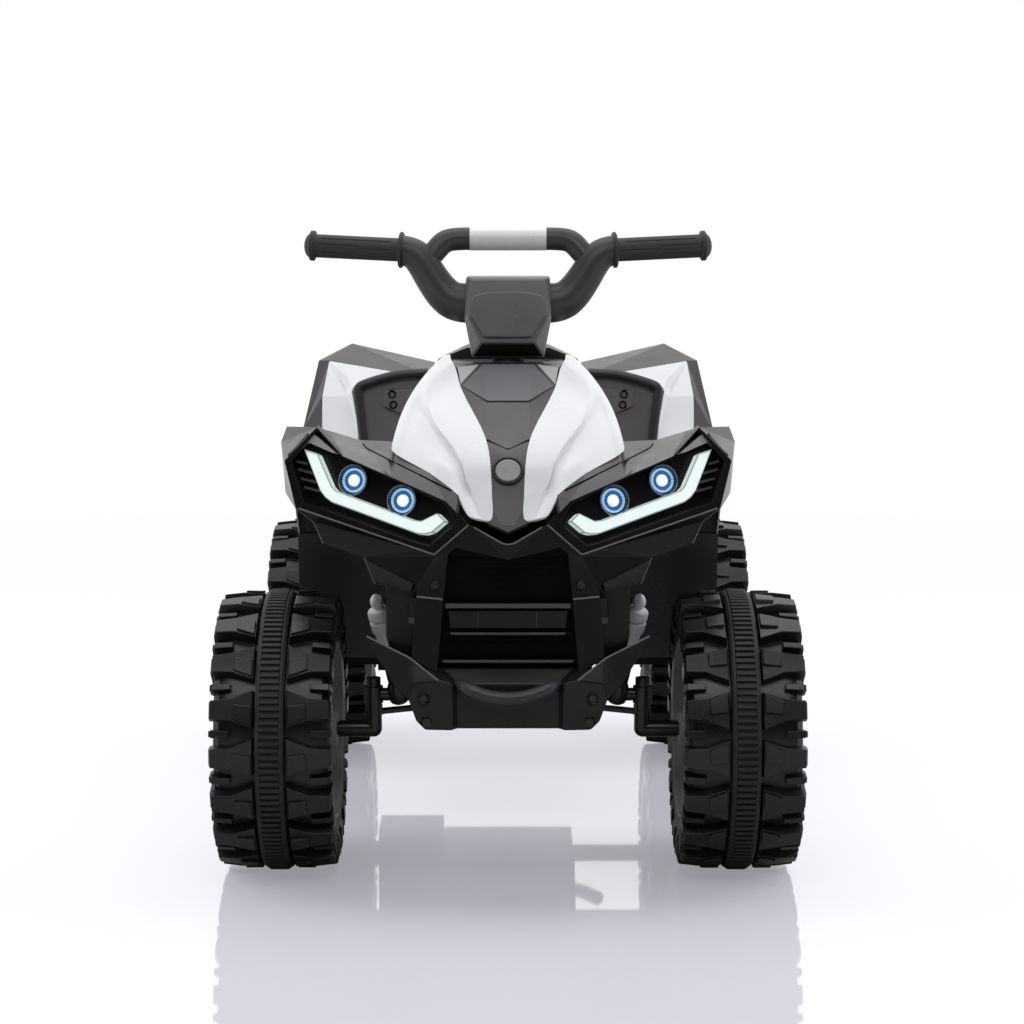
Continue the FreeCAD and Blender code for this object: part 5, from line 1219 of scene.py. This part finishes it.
def wheel_mesh(name, verts, faces, look):
    mesh = bpy.data.meshes.new(name)
    mesh.from_pydata(verts, [], faces)
    mesh.materials.append(M[look])
    mesh.update()
    return mesh


def tyre_mesh():
    profile = [(-x, r) for x, r in reversed(CARCASS)] + list(CARCASS)
    steps = BLOCKS * STEPS_PER_BLOCK
    verts = [round_point(x, index / STEPS_PER_BLOCK, r) for index in range(steps) for x, r in profile]
    faces = wrap_faces(steps, len(profile))
    for turn in range(BLOCKS):
        for side in (1, -1):
            for lug in TREAD_LUGS:
                add_lug(verts, faces, turn, side, *lug)
            for lug in WALL_LUGS:
                add_wall_lug(verts, faces, turn, side, *lug)
    return wheel_mesh("tyre_tread", verts, faces, "tyre")


def band_mesh():
    """Traction band: ribs across the middle between smooth edges."""
    verts = []
    for rib in range(RIBS):
        for share, raised in BAND_ROWS:
            for x, low, high in BAND_SECTION:
                verts.append(round_point(x, rib + share, high if raised else low, RIBS))
    return wheel_mesh("traction_ribs", verts, wrap_faces(RIBS * len(BAND_ROWS), len(BAND_SECTION)), "band")


def place_on_wheel(mesh, name, corner, replaced):
    side, y = CORNERS[corner]
    obj = new_object(f"{name}_{corner}", mesh)
    turn = Matrix.Identity(4) if side > 0 else Matrix.Rotation(math.pi, 4, "Z")
    obj.matrix_world = Matrix.Translation(vec(side * TRACK_HALF, y, AXLE_Z)) @ turn
    return settle(obj, [replaced + "_" + corner], "wheel_" + corner)


tread = tyre_mesh()
ribs = band_mesh()
for corner in CORNERS:
    bevelled(place_on_wheel(tread, "tread", corner, "tyre"), 0.55, 24)
    place_on_wheel(ribs, "ribs", corner, "traction_band")


# Studio: pale polished floor, white surroundings, soft lights
WHITE = (1, 1, 1, 1)
SEEN_RAYS = ("Is Glossy Ray", "Is Transmission Ray")
FLOOR_REACH = 14.0
FLOOR_DIFFUSE = (0.50, 0.482, 0.525)
FLOOR_GLOW = (0.46, 0.449, 0.497)
FLOOR_PLAIN = (0.36, 0.352, 0.37)
FLOOR_DRIFT_SCALE = 0.8
FLOOR_DRIFT = 1.03
FLOOR_ROUGHNESS = 0.035
FLOOR_FADE = (0.75, 2.1)
# Mirror share of the floor seen at a low angle and from high up, and the view's upward part between them
FLOOR_MIRROR = 0.35
FLOOR_MIRROR_STEEP = 0.03
FLOOR_STEEPNESS = (0.38, 0.58)
WORLD_FRONT = 0.03
WORLD_BACK = 1.0
WORLD_TOP = 0.35
# Parts of the direction, backward and upward, over which the surroundings change
WORLD_TURN = (-0.35, 0.55)
WORLD_RISE = (0.45, 0.9)
CAMERA_SENSOR = 36.0
CAMERA_LENS = 84.53
CAMERA_SHIFT = 0.0039
CAMERA_PITCH = 0.12793
# Name, place, target, width, height, energy, whether it shows in mirrored surfaces
LIGHTS = (
    ("top_box", (0.0, 0.1, 2.3), (0, 0, 0.3), 2.2, 1.4, 13.5, True),
    ("front_box", (0.0, -1.9, 2.1), (0, -0.1, 0.35), 2.4, 1.1, 18, True),
    ("left_strip", (1.9, 0.2, 1.1), (0, 0, 0.3), 1.1, 1.9, 26, False),
    ("right_strip", (-1.9, 0.2, 1.1), (0, 0, 0.3), 1.1, 1.9, 26, False),
)


def shader(tree, kind, inputs):
    return node(tree, kind, inputs).outputs[0]


def mix_shaders(tree, factor, first, second):
    return shader(tree, "ShaderNodeMixShader", {0: factor, 1: first, 2: second})


def parts_of(tree, vector):
    return node(tree, "ShaderNodeSeparateXYZ", {0: vector}).outputs


def make_floor():
    """Polished white sheet: it shows the object's reflection and soft shadow, and runs out to plain white."""
    mesh = bpy.data.meshes.new("floor")
    corners = [(x * FLOOR_REACH, y * FLOOR_REACH, 0) for x, y in ((-1, -1), (1, -1), (1, 1), (-1, 1))]
    mesh.from_pydata(corners, [], [(0, 1, 2, 3)])
    mat, tree, bsdf = new_material("floor_pale")
    coords = object_coords(tree)
    drift = noise(tree, coords, FLOOR_DRIFT_SCALE)
    tint = blend_colours(tree, drift, FLOOR_DIFFUSE, shade(FLOOR_DIFFUSE, FLOOR_DRIFT))
    diffuse = shader(tree, "ShaderNodeBsdfDiffuse", {"Color": tint})
    glow = shader(tree, "ShaderNodeEmission", {"Color": (*FLOOR_GLOW, 1)})
    base = shader(tree, "ShaderNodeAddShader", {0: diffuse, 1: glow})
    gloss = shader(tree, "ShaderNodeBsdfGlossy", {"Color": WHITE, "Roughness": FLOOR_ROUGHNESS})
    upward = parts_of(tree, node(tree, "ShaderNodeNewGeometry").outputs["Incoming"])["Z"]
    mirror = ramp(tree, upward, FLOOR_MIRROR, FLOOR_MIRROR_STEEP, *FLOOR_STEEPNESS)
    near = mix_shaders(tree, mirror, base, gloss)
    white = shader(tree, "ShaderNodeEmission", {"Color": WHITE})
    length = node(tree, "ShaderNodeVectorMath", {0: coords}, operation="LENGTH")
    away = ramp(tree, length.outputs["Value"], 0.0, 1.0, *FLOOR_FADE)
    plain = shader(tree, "ShaderNodeBsdfDiffuse", {"Color": (*FLOOR_PLAIN, 1)})
    rays = node(tree, "ShaderNodeLightPath").outputs
    camera_ray = rays["Is Camera Ray"]
    close = mix_shaders(tree, camera_ray, plain, near)
    seen_directly = camera_ray
    for name in SEEN_RAYS:
        seen_directly = greatest(tree, seen_directly, rays[name])
    out = mix_shaders(tree, seen_directly, plain, mix_shaders(tree, away, close, white))
    feed(tree.nodes["Material Output"], {"Surface": out})
    tree.nodes.remove(bsdf)
    mesh.materials.append(mat)
    new_object("floor", mesh)


def make_world():
    """White where the camera looks past the object; for light, bright behind, softer above, dim in front."""
    world = bpy.data.worlds.new("studio")
    bpy.context.scene.world = world
    world.use_nodes = True
    tree = world.node_tree
    direction = parts_of(tree, node(tree, "ShaderNodeTexCoord").outputs["Generated"])
    behind = ramp(tree, direction["Y"], WORLD_FRONT, WORLD_BACK, *WORLD_TURN)
    above = ramp(tree, direction["Z"], 0.0, WORLD_TOP, *WORLD_RISE)
    camera_ray = node(tree, "ShaderNodeLightPath").outputs["Is Camera Ray"]
    choice = {0: camera_ray, 2: greatest(tree, behind, above), 3: 1.0}
    level = node(tree, "ShaderNodeMix", choice, data_type="FLOAT").outputs[0]
    feed(tree.nodes["Background"], {"Strength": level, "Color": WHITE})


def area_light(name, place, target, width, height, energy, mirrored):
    """Soft box that lights the object but isn't seen directly."""
    data = bpy.data.lights.new(name, "AREA")
    data.shape = "RECTANGLE"
    data.size = width
    data.size_y = height
    data.energy = energy
    light = new_object(name, data)
    light.visible_camera = False
    light.visible_glossy = mirrored
    light.location = place
    light.rotation_euler = (Vector(target) - Vector(place)).to_track_quat("-Z", "Y").to_euler()


def make_camera():
    data = bpy.data.cameras.new("camera")
    data.sensor_width = CAMERA_SENSOR
    data.lens = CAMERA_LENS
    data.shift_x = CAMERA_SHIFT
    camera = new_object("camera", data)
    camera.location = EYE
    camera.rotation_euler = (math.pi / 2 - CAMERA_PITCH, 0.0, 0.0)
    bpy.context.scene.camera = camera


make_floor()
make_world()
for light in LIGHTS:
    area_light(*light)
make_camera()
bpy.context.scene.view_settings.view_transform = "Standard"
